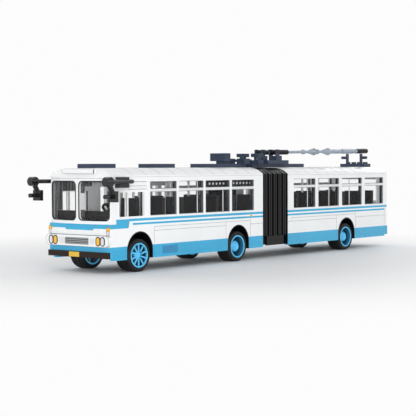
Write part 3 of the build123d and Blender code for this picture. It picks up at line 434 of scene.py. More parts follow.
def add_tube(bm, points, radius, sides=8, closed=False):
    """Round tube through points in metres."""
    count = len(points)
    angles = [2 * pi * k / sides for k in range(sides)]
    circle = [Vector((radius * cos(a), radius * sin(a), 0)) for a in angles]
    rings = []
    for i, point in enumerate(points):
        if closed:
            ahead = points[(i + 1) % count] - points[i - 1]
        else:
            ahead = points[min(i + 1, count - 1)] - points[max(i - 1, 0)]
        turn = ahead.normalized().to_track_quat("Z", "Y")
        rings.append([bm.verts.new(point + turn @ spoke) for spoke in circle])
    pairs = list(zip(rings, rings[1:]))
    if closed:
        pairs.append((rings[-1], rings[0]))
    for a, b in pairs:
        shift = min(range(sides), key=lambda s: (a[0].co - b[s].co).length)
        for k in range(sides):
            bm.faces.new((a[k], a[(k + 1) % sides], b[(k + 1 + shift) % sides], b[(k + shift) % sides]))
    if not closed:
        bm.faces.new(rings[0])
        bm.faces.new(rings[-1])


def add_loop(bm, outline, x, radius, sides=6):
    """Thin closed tube along an outline of (Y, Z) points at one X."""
    add_tube(bm, [place(x, y, z) for y, z in outline], radius * MM, sides=sides, closed=True)


def rounded_rect(y0, y1, z0, z1, radius, steps=6):
    """Points (Y, Z) of a rectangle with rounded corners."""
    corners = [(y1 - radius, z1 - radius, 0), (y0 + radius, z1 - radius, 90),
               (y0 + radius, z0 + radius, 180), (y1 - radius, z0 + radius, 270)]
    points = []
    for cy, cz, start in corners:
        for k in range(steps + 1):
            a = radians(start + 90 * k / steps)
            points.append((cy + radius * cos(a), cz + radius * sin(a)))
    return points


def rounded_square(y, z, half, radius):
    """Points (Y, Z) of a square with rounded corners about its middle."""
    return rounded_rect(y - half, y + half, z - half, z + half, radius)


def frame_bars(a0, a1, z0, z1, width):
    """The four bars of an upright frame as (start, end, low, high)."""
    low, high = z0 + width, z1 - width
    return [(a0, a1, z0, low), (a0, a1, high, z1), (a0, a0 + width, low, high), (a1 - width, a1, low, high)]


def bow(y):
    """X of the bowed front at a place across the bus."""
    return BOW_CROWN - BOW_R + sqrt(BOW_R ** 2 - y ** 2)


def dense(points, step):
    """Closed outline with extra points on its long runs."""
    found = []
    for (y0, z0), (y1, z1) in zip(points, points[1:] + points[:1]):
        count = max(1, int(sqrt((y1 - y0) ** 2 + (z1 - z0) ** 2) / step))
        for k in range(count):
            found.append((y0 + (y1 - y0) * k / count, z0 + (z1 - z0) * k / count))
    return found


# Black edging of the two windscreen panes
# The left opening, as inner end, outer end, low, high and corner radius
SCREEN = (1.65, 30.2, 39.4, 68.2, 3.2)
EDGING_R, EDGING_SUNK = 0.45, 0.1
for label, y0, y1 in (("left", SCREEN[0], SCREEN[1]), ("right", -SCREEN[1], -SCREEN[0])):
    bm = bmesh.new()
    outline = dense(rounded_rect(y0, y1, *SCREEN[2:]), 2.0)
    add_tube(bm, [place(bow(y) - EDGING_SUNK, y, z) for y, z in outline], EDGING_R * MM, closed=True)
    piece(f"windscreen_edging_{label}", bm, "black", "front_section", smooth=True)

# Smoked lining of the cab corners: panels inside the wall, flanges at both ends of each windscreen pane,
# a strip from the wall to the outer flange, and a border on the pane's outer end
# Panels as (rear end, front end, low, high)
CAB_PANELS = [
    (22.4, 27.9, 46.2, 71.0), (4.0, 22.4, 60.6, 71.0), (-9.0, 4.0, 63.6, 71.0), (27.65, 27.95, 40.0, 46.2),
]
CAB_LINING_T, BORDER_W, BORDER_T = 0.3, 1.2, 0.15
PANE_FRONT, PANE_BACK = 0.8, 2.05
POST_FLANGE_LOW, POST_FOOT_HIGH = 59.4, 47.0


def screen_outline(inset):
    """Points (Y, Z) of the left windscreen opening, moved inwards, and the number of points to a corner."""
    y0, y1, z0, z1, radius = SCREEN
    points = rounded_rect(y0 + inset, y1 - inset, z0 + inset, z1 - inset, radius - inset)
    return points, len(points) // 4


def outer_end(inset):
    """The opening's outer end from its bottom to its top."""
    points, corner = screen_outline(inset)
    return points[-corner:] + points[:corner]


def post_end(inset):
    """The upper part of the opening's end at the middle post, from its top down."""
    points, corner = screen_outline(inset)
    return points[corner:2 * corner] + [(SCREEN[0] + inset, POST_FLANGE_LOW)]


def post_foot(inset):
    """The lower part of the same end, down to its bottom."""
    points, corner = screen_outline(inset)
    return [(SCREEN[0] + inset, POST_FOOT_HIGH)] + points[2 * corner:3 * corner]


def add_strip(bm, side, sections):
    """Closed strip on a side of the bus, through cross-sections of four points each."""
    skin(bm, [[bm.verts.new(place(x, side * y, z)) for x, y, z in section] for section in sections])


for side, label in SIDES:
    bm = bmesh.new()
    for x0, x1, z0, z1 in CAB_PANELS:
        add_box(bm, x0, x1, side * WALL_INNER, side * (WALL_INNER - CAB_LINING_T), z0, z1)
    for end in (outer_end, post_end, post_foot):
        add_strip(bm, side, [
            ((MASK_BACK, y, z), (bow(y) - PANE_BACK, y, z), (bow(v) - PANE_BACK, v, w), (MASK_BACK, v, w))
            for (y, z), (v, w) in zip(end(0.0), end(CAB_LINING_T))])
    strip_front = MASK_BACK + CAB_LINING_T
    add_strip(bm, side, [
        ((MASK_BACK, y, z), (strip_front, y, z), (strip_front, WALL_INNER, z), (MASK_BACK, WALL_INNER, z))
        for y, z in outer_end(CAB_LINING_T) if y > WALL_INNER])
    add_strip(bm, side, [
        ((bow(y) - PANE_FRONT, y, z), (bow(y) - PANE_FRONT + BORDER_T, y, z),
         (bow(v) - PANE_FRONT + BORDER_T, v, w), (bow(v) - PANE_FRONT, v, w))
        for (y, z), (v, w) in zip(outer_end(0.0), outer_end(BORDER_W))])
    piece(f"cab_lining_{label}", bm, "smoked", "front_section")

# Dark rims of the lamps
LAMP_Y, LAMP_HALF, LAMP_LOW, LAMP_HIGH, LAMP_R = (-27.2, -22.6, 22.6, 27.2), 2.0, 21.2, 27.4, 1.9
LAMP_RIM_R, LAMP_RIM_PROUD = 0.38, 0.15
for y in LAMP_Y:
    bm = bmesh.new()
    outline = rounded_rect(y - LAMP_HALF, y + LAMP_HALF, LAMP_LOW, LAMP_HIGH, LAMP_R)
    add_loop(bm, outline, BEZEL_FACE + LAMP_RIM_PROUD, LAMP_RIM_R, sides=8)
    label = "left" if y > 0 else "right"
    piece(f"lamp_rim_{label}_{abs(y):.0f}", bm, "black", "front_section", smooth=True)

# Dark outline of the two-part corner lamps
CORNER_LAMP_Y, CORNER_LAMP_HALF, CORNER_LAMP_PROUD, CORNER_LAMP_RIM_R = 30.6, 1.3, 1.0, 0.13
CORNER_LAMP_LEVELS = ((28.9, 31.7), (31.7, 34.6))
for side, label in SIDES:
    bm = bmesh.new()
    y0, y1 = side * CORNER_LAMP_Y - CORNER_LAMP_HALF, side * CORNER_LAMP_Y + CORNER_LAMP_HALF
    for z0, z1 in CORNER_LAMP_LEVELS:
        outline = dense([(y0, z0), (y1, z0), (y1, z1), (y0, z1)], 0.7)
        add_loop(bm, outline, FRONT_FACE + CORNER_LAMP_PROUD, CORNER_LAMP_RIM_R)
    piece(f"corner_lamp_rim_{label}", bm, "seam", "front_section")

# Shadow joint behind the lamp bar and round its front edge
LAMP_BAR = (-33.4, 33.4, 20.2, 28.4, 4.05)
BAR_BACK_PROUD, BAR_BACK_R, BAR_FRONT_SUNK, BAR_FRONT_R = 0.15, 0.14, 0.05, 0.1
bm = bmesh.new()
outline = dense(rounded_rect(*LAMP_BAR, steps=10), 3.0)
behind = [(max(-HALF_W, min(HALF_W, y)), z) for y, z in outline]
add_loop(bm, behind, FRONT_FACE + BAR_BACK_PROUD, BAR_BACK_R)
add_loop(bm, outline, BEZEL_FACE - BAR_FRONT_SUNK, BAR_FRONT_R)
piece("lamp_bar_joint", bm, "seam", "front_section")

# Pale vents on both sides of the grille
VENT_Y, VENT_LOW, VENT_PITCH, VENT_H, VENT_T, VENT_ROWS = (13.4, 18.6), 22.0, 0.85, 0.45, 0.3, 6
for side, label in SIDES:
    bm = bmesh.new()
    for k in range(VENT_ROWS):
        z = VENT_LOW + k * VENT_PITCH
        add_box(bm, BEZEL_FACE, BEZEL_FACE + VENT_T, side * VENT_Y[0], side * VENT_Y[1], z, z + VENT_H)
    piece(f"lamp_bar_vent_{label}", bm, "rail", "front_section", bevel=0.1)

# Blank plate on the bumper, with a raised edge
PLATE, PLATE_T = (-9.0, 1.6, 12.1, 15.8), 0.4
PLATE_RIM, PLATE_RIM_R = (-8.8, 1.4, 12.3, 15.6, 0.5), 0.14
bm = bmesh.new()
add_box(bm, BUMPER_FACE, BUMPER_FACE + PLATE_T, *PLATE)
add_loop(bm, dense(rounded_rect(*PLATE_RIM), 1.0), BUMPER_FACE + PLATE_T, PLATE_RIM_R)
piece("front_plate", bm, "yellow", "front_section", bevel=0.25)

# Light-grey rails across the side windows, and dark gaskets round their upper and lower lights
# Windows as (front end, rear end)
WINDOWS = {
    ("front", "left"): [(-11.5, -42.1), (-44.8, -74.7), (-77.4, -108.6), (-111.4, -141.4)],
    ("front", "right"): [(-44.8, -74.7), (-111.4, -141.4)],
    ("rear", "left"): [(-199.6, -233.7), (-238.4, -272.7), (-277.9, -312.8), (-318.2, -352.0)],
    ("rear", "right"): [(-238.4, -272.7), (-277.9, -312.8), (-318.2, -352.0)],
}
RAIL_SUNK, RAIL_PROUD, RAIL_LAP = 0.6, 0.15, 0.1
CAB_RAIL = (14.5, 12.5)
CAB_RAIL_TOP = 60.0
GASKET_W, GASKET_SUNK, GASKET_PROUD = 0.35, 1.9, -0.25
for half in ("front", "rear"):
    for side, label in SIDES:
        spans = WINDOWS[half, label]
        bm = bmesh.new()
        for x0, x1 in spans:
            add_side_box(bm, side, x0, x1, RAIL_SUNK, RAIL_PROUD, BAR_LOW - RAIL_LAP, BAR_HIGH)
        piece(f"window_rails_{half}_{label}", bm, "rail", f"{half}_section", bevel=0.15)
        bm = bmesh.new()
        for x0, x1 in spans:
            for low, high in ((SILL, BAR_LOW), (BAR_HIGH, HEAD)):
                for a0, a1, z0, z1 in frame_bars(x1, x0, low, high, GASKET_W):
                    add_side_box(bm, side, a0, a1, GASKET_SUNK, GASKET_PROUD, z0, z1)
        piece(f"window_gaskets_{half}_{label}", bm, "grey", f"{half}_section")
for side, label in SIDES:
    bm = bmesh.new()
    add_side_box(bm, side, *CAB_RAIL, RAIL_SUNK, RAIL_PROUD, SILL, CAB_RAIL_TOP)
    piece(f"cab_window_rail_{label}", bm, "rail", "front_section", bevel=0.15)

# Hairline joints between the side panels: (height, front end, rear end) and (place, low end, high end)
PANEL_JOINTS = {
    "front": ([(33.5, -16.2, -136.5), (30.5, -16.2, -103.4), (30.5, -136.5, -153.8)],
              [(-16.2, 20.2, 33.5), (-103.4, 20.2, 33.5), (-136.5, 20.2, 35.6)]),
    "rear": ([(33.5, -196.0, -301.7), (30.5, -191.0, -268.4), (30.5, -301.7, -354.8)],
             [(-196.0, 30.5, 33.5), (-268.4, 20.2, 33.5), (-301.7, 20.2, 35.6), (-354.8, 20.2, 38.4)]),
}
JOINT_W, JOINT_SUNK, JOINT_PROUD = 0.2, 0.1, 0.03
SHORTEST_RUN = 0.5


def door_gaps(half, side):
    """Doorways on a side of one half."""
    return DOOR_SPANS[half] if side < 0 else []


def in_gap(x, gaps):
    """Whether a place along the bus lies in a gap."""
    return any(g0 >= x >= g1 for g0, g1 in gaps)


def clear_runs(x0, x1, gaps):
    """Parts of a run along the bus that no gap takes."""
    runs = [(x0, x1)]
    for g0, g1 in gaps:
        cut = [part for a, b in runs for part in ((a, max(b, g0)), (min(a, g1), b))]
        runs = [(a, b) for a, b in cut if a - b > SHORTEST_RUN]
    return runs


def add_row(bm, side, z, x0, x1, gaps, width):
    """Level hairline joint on a side, broken at the gaps."""
    for a, b in clear_runs(x0, x1, gaps):
        add_side_box(bm, side, a, b, JOINT_SUNK, JOINT_PROUD, z - width / 2, z + width / 2)


def add_upright(bm, side, x, z0, z1, gaps, width):
    """Upright hairline joint on a side, left out in a gap."""
    if not in_gap(x, gaps):
        add_side_box(bm, side, x - width / 2, x + width / 2, JOINT_SUNK, JOINT_PROUD, z0, z1)


for half, (rows, uprights) in PANEL_JOINTS.items():
    for side, label in SIDES:
        gaps = door_gaps(half, side)
        bm = bmesh.new()
        for z, x0, x1 in rows:
            add_row(bm, side, z, x0, x1, gaps, JOINT_W)
        for x, z0, z1 in uprights:
            add_upright(bm, side, x, z0, z1, gaps, JOINT_W)
        piece(f"panel_joints_{half}_{label}", bm, "seam", f"{half}_section")

# Joint between wall and roof, and the plate joints of the blue skirts
ENDS = {"front": (27.8, -153.8), "rear": (-191.0, -354.8)}
CANTRAIL_LOW, CANTRAIL_HIGH, CANTRAIL_SUNK = 71.3, 71.45, 0.2
ARCH_HALF, SKIRT_BREAK = 14.5, 16.4
SKIRT_ROWS, SKIRT_JOINT_W, SKIRT_JOINT_LOW, SKIRT_JOINT_HIGH = (13.2, 16.5), 0.16, 10.1, 19.9
for half, (x0, x1) in ENDS.items():
    bm = bmesh.new()
    for side, _ in SIDES:
        add_side_box(bm, side, x0, x1, CANTRAIL_SUNK, JOINT_PROUD, CANTRAIL_LOW, CANTRAIL_HIGH)
    piece(f"cantrail_joint_{half}", bm, "joint", f"{half}_section")
    for side, label in SIDES:
        gaps = [(axle + ARCH_HALF, axle - ARCH_HALF) for axle in AXLES[half]] + door_gaps(half, side)
        bm = bmesh.new()
        for z in SKIRT_ROWS:
            add_row(bm, side, z, x0, x1, gaps, SKIRT_JOINT_W)
        for x in [axle + step for axle in AXLES[half] for step in (SKIRT_BREAK, -SKIRT_BREAK)]:
            if x1 < x < x0:
                add_upright(bm, side, x, SKIRT_JOINT_LOW, SKIRT_JOINT_HIGH, gaps, SKIRT_JOINT_W)
        piece(f"skirt_joints_{half}_{label}", bm, "vent", f"{half}_section")

# Joints between the slope pieces of the roof, whose arc runs through three points (Y, Z)
ROOF_ARC = ((32.0, 72.5), (25.505, 76.295), (17.0, 78.0))
ARC_STEPS = 8
ROOF_FLAT_HALF, ROOF_TOP = ROOF_ARC[-1]
ROOF_RUNS = {"front": (8.0, -150.0), "rear": (-206.0, -350.0)}
ROOF_PITCH, ROOF_JOINT_R = 16.0, 0.1


def arc_points(a, b, c, steps):
    """Points on the circle through three, from the first to the last."""
    (ax, ay), (bx, by), (cx, cy) = a, b, c
    d = 2 * (ax * (by - cy) + bx * (cy - ay) + cx * (ay - by))
    sa, sb, sc = ax * ax + ay * ay, bx * bx + by * by, cx * cx + cy * cy
    ux = (sa * (by - cy) + sb * (cy - ay) + sc * (ay - by)) / d
    uy = (sa * (cx - bx) + sb * (ax - cx) + sc * (bx - ax)) / d
    r = sqrt((ax - ux) ** 2 + (ay - uy) ** 2)
    found = []
    for k in range(steps + 1):
        x, y = ax + (cx - ax) * k / steps - ux, ay + (cy - ay) * k / steps - uy
        length = sqrt(x * x + y * y)
        found.append((ux + x * r / length, uy + y * r / length))
    return found


for half, (first, last) in ROOF_RUNS.items():
    bm = bmesh.new()
    for side, _ in SIDES:
        x = first
        while x > last:
            slope = [place(x, side * y, z) for y, z in arc_points(*ROOF_ARC, ARC_STEPS)]
            add_tube(bm, slope + [place(x, 0.0, ROOF_TOP)], ROOF_JOINT_R * MM, sides=6)
            x -= ROOF_PITCH
        ridge = [place(x, side * ROOF_FLAT_HALF, ROOF_TOP) for x in (first, last)]
        add_tube(bm, ridge, ROOF_JOINT_R * MM, sides=6)
    piece(f"roof_joints_{half}", bm, "joint", f"{half}_section")

# Joint under the front cornice, upright joints in it, and joints round the destination box as (Y, Y, Z, Z)
CORNICE_LOW, CORNICE_HIGH, CORNICE_HALF, CORNICE_STEPS = 70.4, 71.3, 31.4, 24
CORNICE_BREAK, CORNICE_JOINT_R = 22.0, 0.09
BOX_BACK, BOX_FRONT = 32.6, 33.46
BOX_JOINTS = [(-16.5, 16.5, 74.05, 74.2), (-16.6, -16.45, 74.1, 77.0), (16.45, 16.6, 74.1, 77.0)]
bm = bmesh.new()
stations = [-CORNICE_HALF + 2 * CORNICE_HALF * k / CORNICE_STEPS for k in range(CORNICE_STEPS + 1)]
add_tube(bm, [place(bow(y), y, CORNICE_LOW) for y in stations], CORNICE_JOINT_R * MM, sides=6)
for side, _ in SIDES:
    upright = [place(bow(CORNICE_BREAK), side * CORNICE_BREAK, z) for z in (CORNICE_LOW, CORNICE_HIGH)]
    add_tube(bm, upright, CORNICE_JOINT_R * MM, sides=6)
for bar in BOX_JOINTS:
    add_box(bm, BOX_BACK, BOX_FRONT, *bar)
piece("front_cornice_joint", bm, "seam", "front_section")

# Louvred panel in the left skirt
LOUVRE_X, LOUVRE_LOW, LOUVRE_HIGH, LOUVRE_SUNK, LOUVRE_PROUD = (-25.0, -43.0), 12.4, 18.4, 0.2, 0.15
SLAT_X, SLAT_LOW, SLAT_PITCH, SLAT_H, SLAT_PROUD, SLATS = (-25.6, -42.4), 12.8, 0.92, 0.5, 0.4, 6
bm = bmesh.new()
add_side_box(bm, 1, *LOUVRE_X, LOUVRE_SUNK, LOUVRE_PROUD, LOUVRE_LOW, LOUVRE_HIGH)
for k in range(SLATS):
    z = SLAT_LOW + k * SLAT_PITCH
    add_side_box(bm, 1, *SLAT_X, 0.0, SLAT_PROUD, z, z + SLAT_H)
piece("skirt_vent", bm, "vent", "front_section", bevel=0.08)

# Lines across the board over the cab window
BOARD_X, BOARD_SUNK, BOARD_PROUD = (12.6, -8.3), 0.7, -0.35
BOARD_LINES, BOARD_LINE_H = (62.1, 64.5, 67.6), 0.2
for side, label in SIDES:
    bm = bmesh.new()
    for z in BOARD_LINES:
        add_side_box(bm, side, *BOARD_X, BOARD_SUNK, BOARD_PROUD, z, z + BOARD_LINE_H)
    piece(f"cab_board_lines_{label}", bm, "seam", "front_section")

# Joints between the plates of the roof gear: front edge, rear edge, right edge, left edge, heights
GEAR_JOINTS = {
    "front": [
        (-132.0, -140.0, -8.0, 8.0, (86.2, 88.2)),
        (-154.0, -162.0, 4.0, 12.0, (82.8, 84.3)), (-154.0, -162.0, -12.0, -4.0, (82.8, 84.3)),
    ],
    "rear": [
        (-201.0, -209.0, 3.6, 12.4, (86.4,)), (-201.0, -209.0, -12.4, -3.6, (86.4,)),
        (-174.0, -182.0, 4.0, 12.0, (88.6,)), (-174.0, -182.0, -12.0, -4.0, (88.6,)),
    ],
}
GEAR_JOINT_H, GEAR_PROUD = 0.18, 0.04
for half, stacks in GEAR_JOINTS.items():
    bm = bmesh.new()
    for front, rear, right, left, heights in stacks:
        plan = (front + GEAR_PROUD, rear - GEAR_PROUD, right - GEAR_PROUD, left + GEAR_PROUD)
        for z in heights:
            add_box(bm, *plan, z, z + GEAR_JOINT_H)
    piece(f"gear_joints_{half}", bm, "black", f"{half}_section")

# Tyres with tread: profile of (depth from the outer face, radius) and whether the cross slots cut it there
TYRE_PROFILE = [
    (0.7, 9.34, 0), (0.2, 9.8, 0), (0.0, 10.6, 0), (0.3, 11.5, 0), (0.9, 12.2, 0), (1.5, 12.5, 1),
    (4.3, 12.5, 1), (4.4, 12.0, 0), (5.0, 12.0, 0), (5.1, 12.5, 0), (8.9, 12.5, 0), (9.0, 12.0, 0),
    (9.6, 12.0, 0), (9.7, 12.5, 1), (12.5, 12.5, 1), (13.1, 12.2, 0), (13.7, 11.5, 0), (14.0, 10.6, 0),
    (13.8, 9.8, 0), (13.3, 9.34, 0),
]
# Steps of one pitch of the tread as (share of the pitch, whether it lies in the slot)
SLOT_STEPS = ((0.0, 0), (0.1, 1), (0.3, 1), (0.4, 0), (0.7, 0))
SLOTS, SLOT_DEPTH = 36, 0.4
# Share of the pitch that stands on the ground
RIB_MIDDLE = 0.85


def add_tyre(bm, axle, side):
    """One tyre: the profile turned about the axle, with slots across its shoulder ribs."""
    rings = []
    for i in range(SLOTS):
        for share, cut in SLOT_STEPS:
            a = 2 * pi * (i + share - RIB_MIDDLE) / SLOTS - pi / 2
            ring = []
            for depth, radius, slotted in TYRE_PROFILE:
                r = radius - SLOT_DEPTH * cut * slotted
                point = place(axle + r * cos(a), side * (WHEEL_OUTER - depth), TYRE_R + r * sin(a))
                ring.append(bm.verts.new(point))
            rings.append(ring)
    skin(bm, rings, closed=True)


for name, axle in (("front", FRONT_AXLE), ("middle", MIDDLE_AXLE), ("rear", REAR_AXLE)):
    bm = bmesh.new()
    for side, _ in SIDES:
        add_tyre(bm, axle, side)
    treaded = piece(f"{name}_tyres_treaded", bm, "tyre", f"{name}_wheelset")
    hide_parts(f"{name}_tyres")

# Grey collar that holds each shoe on its pole, as (distance along the pole, radius)
POLE_PIVOT, POLE_Y, POLE_TILT = (-203.2, 91.4), 8.0, radians(0.9)
COLLAR = [(112.0, 1.32), (112.0, 1.9), (112.5, 2.15), (136.8, 2.15), (137.6, 2.0), (137.6, 1.32)]
COLLAR_SIDES = 24
for side, label in SIDES:
    bm = bmesh.new()
    rings = []
    for along, radius in COLLAR:
        x, z = POLE_PIVOT[0] - along * cos(POLE_TILT), POLE_PIVOT[1] + along * sin(POLE_TILT)
        ring = []
        for k in range(COLLAR_SIDES):
            out, rise = radius * cos(2 * pi * k / COLLAR_SIDES), radius * sin(2 * pi * k / COLLAR_SIDES)
            point = place(x + rise * sin(POLE_TILT), side * POLE_Y + out, z + rise * cos(POLE_TILT))
            ring.append(bm.verts.new(point))
        rings.append(ring)
    skin(bm, rings, closed=True)
    piece(f"pole_collar_{label}", bm, "pole", f"pole_{label}", bevel=0.1)

# Back of the bus: window gasket, lamp rims and panel joints
BACK_WINDOW, BACK_GASKET_W, BACK_GASKET_X = (-22.0, 22.0, 44.0, 66.0), 0.4, (2.0, 0.2)
TAIL_LAMP_Y, TAIL_LAMP_HALF, TAIL_LAMP_LOW, TAIL_LAMP_HIGH = 25.0, 3.3, 23.9, 30.1
TAIL_RIM_PROUD, TAIL_RIM_R, TAIL_RIM_CORNER = 0.6, 0.3, 0.6
# Joints of the back as (Y, Y, Z, Z)
BACK_JOINTS = [
    (-HALF_W, HALF_W, 33.4, 33.6), (-HALF_W, HALF_W, 39.9, 40.1),
    (-16.1, -15.9, 20.2, 33.5), (15.9, 16.1, 20.2, 33.5),
]
bm = bmesh.new()
for bar in frame_bars(*BACK_WINDOW, BACK_GASKET_W):
    add_box(bm, BACK_FACE + BACK_GASKET_X[0], BACK_FACE + BACK_GASKET_X[1], *bar)
piece("back_window_gasket", bm, "grey", "rear_section")
bm = bmesh.new()
for side, _ in SIDES:
    y0, y1 = side * TAIL_LAMP_Y - TAIL_LAMP_HALF, side * TAIL_LAMP_Y + TAIL_LAMP_HALF
    outline = dense(rounded_rect(y0, y1, TAIL_LAMP_LOW, TAIL_LAMP_HIGH, TAIL_RIM_CORNER), 1.0)
    add_loop(bm, outline, BACK_FACE - TAIL_RIM_PROUD, TAIL_RIM_R, sides=8)
piece("tail_lamp_rims", bm, "seam", "rear_section", smooth=True)
bm = bmesh.new()
for bar in BACK_JOINTS:
    add_box(bm, BACK_FACE - JOINT_PROUD, BACK_FACE + JOINT_SUNK, *bar)
piece("back_joints", bm, "seam", "rear_section")

# Mirror faces, rounded plates that are a little crowned, each in a thin black rim
MIRROR_BACK, MIRROR_Y, MIRROR_Z, MIRROR_HALF, MIRROR_CORNER = 35.2, 39.7, 57.4, 3.3, 0.9
# Rings of the crown as (share of the size, depth)
MIRROR_RINGS = ((1.0, 0.0), (1.0, 0.1), (0.7, 0.17), (0.35, 0.2))
MIRROR_RIM_R, MIRROR_RIM_DEPTH = 0.2, 0.1
for side, label in SIDES:
    bm = bmesh.new()
    rings = []
    for share, depth in MIRROR_RINGS:
        outline = rounded_square(side * MIRROR_Y, MIRROR_Z, MIRROR_HALF * share, MIRROR_CORNER * share)
        rings.append([bm.verts.new(place(MIRROR_BACK - depth, y, z)) for y, z in outline])
    skin(bm, rings)
    piece(f"mirror_face_{label}", bm, "mirror", "front_section")
    bm = bmesh.new()
    outline = dense(rounded_square(side * MIRROR_Y, MIRROR_Z, MIRROR_HALF, MIRROR_CORNER), 1.0)
    add_loop(bm, outline, MIRROR_BACK - MIRROR_RIM_DEPTH, MIRROR_RIM_R)
    piece(f"mirror_rim_{label}", bm, "black", "front_section", smooth=True)

# Slim posts between the benches and the left windows, each with a small bracket at its top
# Posts as (X, foot, top); they stand on the floor or on a wheel well
POSTS = {
    "front": [(-72.3, 19.2, 67.6), (-105.0, 19.2, 62.0)],
    "rear": [(-227.4, 19.2, 67.6), (-262.4, 19.2, 67.6), (-297.3, 24.4, 67.6), (-347.0, 19.2, 67.6)],
}
POST_Y, POST_R, POST_MIDDLE = 27.5, 0.45, 40.0
BRACKET_HALF, BRACKET_H = 1.0, 0.9
for half, places in POSTS.items():
    bm = bmesh.new()
    for x, foot, top in places:
        add_tube(bm, [place(x, POST_Y, z) for z in (foot, POST_MIDDLE, top)], POST_R * MM, sides=12)
        plan = (x - BRACKET_HALF, x + BRACKET_HALF, POST_Y - POST_R, POST_Y + POST_R)
        add_box(bm, *plan, top - BRACKET_H, top)
    piece(f"{half}_window_posts", bm, "rail", f"{half}_section", bevel=0.08)

# Dark strip with a row of pale studs behind the upper lights of two left windows, held at the pillars
STRIP_X, STRIP_LOW, STRIP_HIGH, STRIP_Y, STRIP_T = (-75.0, -144.4), 62.4, 68.4, 26.9, 0.5
HOLDERS, HOLDER_HALF, HOLDER_LOW, HOLDER_HIGH = (-76.0, -110.0, -143.4), 1.0, 63.0, 67.8
STUDS, FIRST_STUD, STUD_PITCH, STUD_Z, STUD_R, STUD_H = 13, -88.3, 4.5, 65.0, 1.0, 0.4
STRIP_LAP = 0.1
bm = bmesh.new()
add_box(bm, *STRIP_X, STRIP_Y, STRIP_Y - STRIP_T, STRIP_LOW, STRIP_HIGH)
for x in HOLDERS:
    add_box(bm, x - HOLDER_HALF, x + HOLDER_HALF, STRIP_Y - STRIP_LAP, WALL_INNER, HOLDER_LOW, HOLDER_HIGH)
piece("window_strip", bm, "black", "front_section", bevel=0.1)
bm = bmesh.new()
for k in range(STUDS):
    x = FIRST_STUD - STUD_PITCH * k
    stud = [place(x, y, STUD_Z) for y in (STRIP_Y - STRIP_LAP, STRIP_Y + STUD_H)]
    add_tube(bm, stud, STUD_R * MM, sides=16)
piece("window_strip_studs", bm, "rail", "front_section", bevel=0.1)

# Soft lining behind the bellows hoops, as far round and as long as it was cut
LINING_HALF, LINING_LOW, LINING_TOP, LINING_CROWN = 26.9, 11.4, 72.6, 1.0
LINING_END, LINING_T = 1.0, 0.4
CROWN_STEPS, LENGTH_STEPS = 12, 44
profile = [(-LINING_HALF, LINING_LOW), (-LINING_HALF, LINING_TOP)]
for k in range(1, CROWN_STEPS):
    y = LINING_HALF * (2 * k / CROWN_STEPS - 1)
    profile.append((y, LINING_TOP + LINING_CROWN * (1 - (y / LINING_HALF) ** 2)))
profile += [(LINING_HALF, LINING_TOP), (LINING_HALF, LINING_LOW)]
bm = bmesh.new()
rows = []
for k in range(LENGTH_STEPS + 1):
    x = FRONT_END + LINING_END + (REAR_START - FRONT_END - 2 * LINING_END) * k / LENGTH_STEPS
    rows.append([bm.verts.new(place(x, y, z)) for y, z in profile])
for a, b in zip(rows, rows[1:]):
    for k in range(len(profile) - 1):
        bm.faces.new((a[k], a[k + 1], b[k + 1], b[k]))
lining = piece("bellows_lining", bm, "black", None, smooth=True)
thick = lining.modifiers.new("thick", "SOLIDIFY")
thick.thickness = LINING_T * MM
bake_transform(lining)

# Black end frames of the bellows on both halves, inside the line of the walls and the roof
FRAME_HALF, FRAME_LOW, FRAME_TOP, FRAME_DROP = 31.7, 10.6, 72.2, 0.3
FRAME_INNER_SHARE, FRAME_INNER_TOP, FRAME_T = 0.85, 71.8, 0.4
outer = [(-FRAME_HALF, FRAME_LOW), (-FRAME_HALF, FRAME_TOP)]
outer += [(-y, z - FRAME_DROP) for y, z in arc_points(*ROOF_ARC, ARC_STEPS)[1:]]
outer += [(-y, z) for y, z in reversed(outer)]
inner = [(FRAME_INNER_SHARE * y, min(z, FRAME_INNER_TOP)) for y, z in outer]
for half, x0, x1 in (("front", FRONT_END, FRONT_END - FRAME_T), ("rear", REAR_START, REAR_START + FRAME_T)):
    bm = bmesh.new()
    near_out, near_in, far_out, far_in = [
        [bm.verts.new(place(x, y, z)) for y, z in line] for x in (x0, x1) for line in (outer, inner)]
    for a, b in ((near_out, near_in), (near_in, far_in), (far_in, far_out), (far_out, near_out)):
        for k in range(len(a) - 1):
            bm.faces.new((a[k], a[k + 1], b[k + 1], b[k]))
    for k in (0, -1):
        bm.faces.new((near_out[k], near_in[k], far_in[k], far_out[k]))
    piece(f"bellows_frame_{half}", bm, "black", f"{half}_section")

# Floor, which fades to the pale backdrop away from the bus
BACKDROP = (0.98, 0.98, 0.98, 1.0)
FLOOR_HALF, FADE_START, FADE_END = 6.0, 0.14, 0.44
bm = bmesh.new()
for x, y in ((-1, -1), (1, -1), (1, 1), (-1, 1)):
    bm.verts.new((x * FLOOR_HALF, y * FLOOR_HALF, 0.0))
bm.faces.new(bm.verts[:])
floor_mesh = bpy.data.meshes.new("studio_floor")
bm.to_mesh(floor_mesh)
bm.free()
studio_floor = bpy.data.objects.new("studio_floor", floor_mesh)
bpy.context.scene.collection.objects.link(studio_floor)
floor_look, tree, shader, coords = graph("studio_floor")
shader.inputs["Base Color"].default_value = (0.93, 0.93, 0.93, 1.0)
shader.inputs["Roughness"].default_value = 0.6
shader.inputs["Specular IOR Level"].default_value = 0.1
floor_mesh.materials.append(floor_look)
away = tree.nodes.new("ShaderNodeVectorMath")
away.operation = "LENGTH"
tree.links.new(coords, away.inputs[0])
fade = tree.nodes.new("ShaderNodeMapRange")
fade.interpolation_type = "SMOOTHSTEP"
fade.inputs["From Min"].default_value = FADE_START
fade.inputs["From Max"].default_value = FADE_END
tree.links.new(away.outputs["Value"], fade.inputs["Value"])
seen = math(tree, "MULTIPLY", fade.outputs["Result"], seen_by_eye(tree))
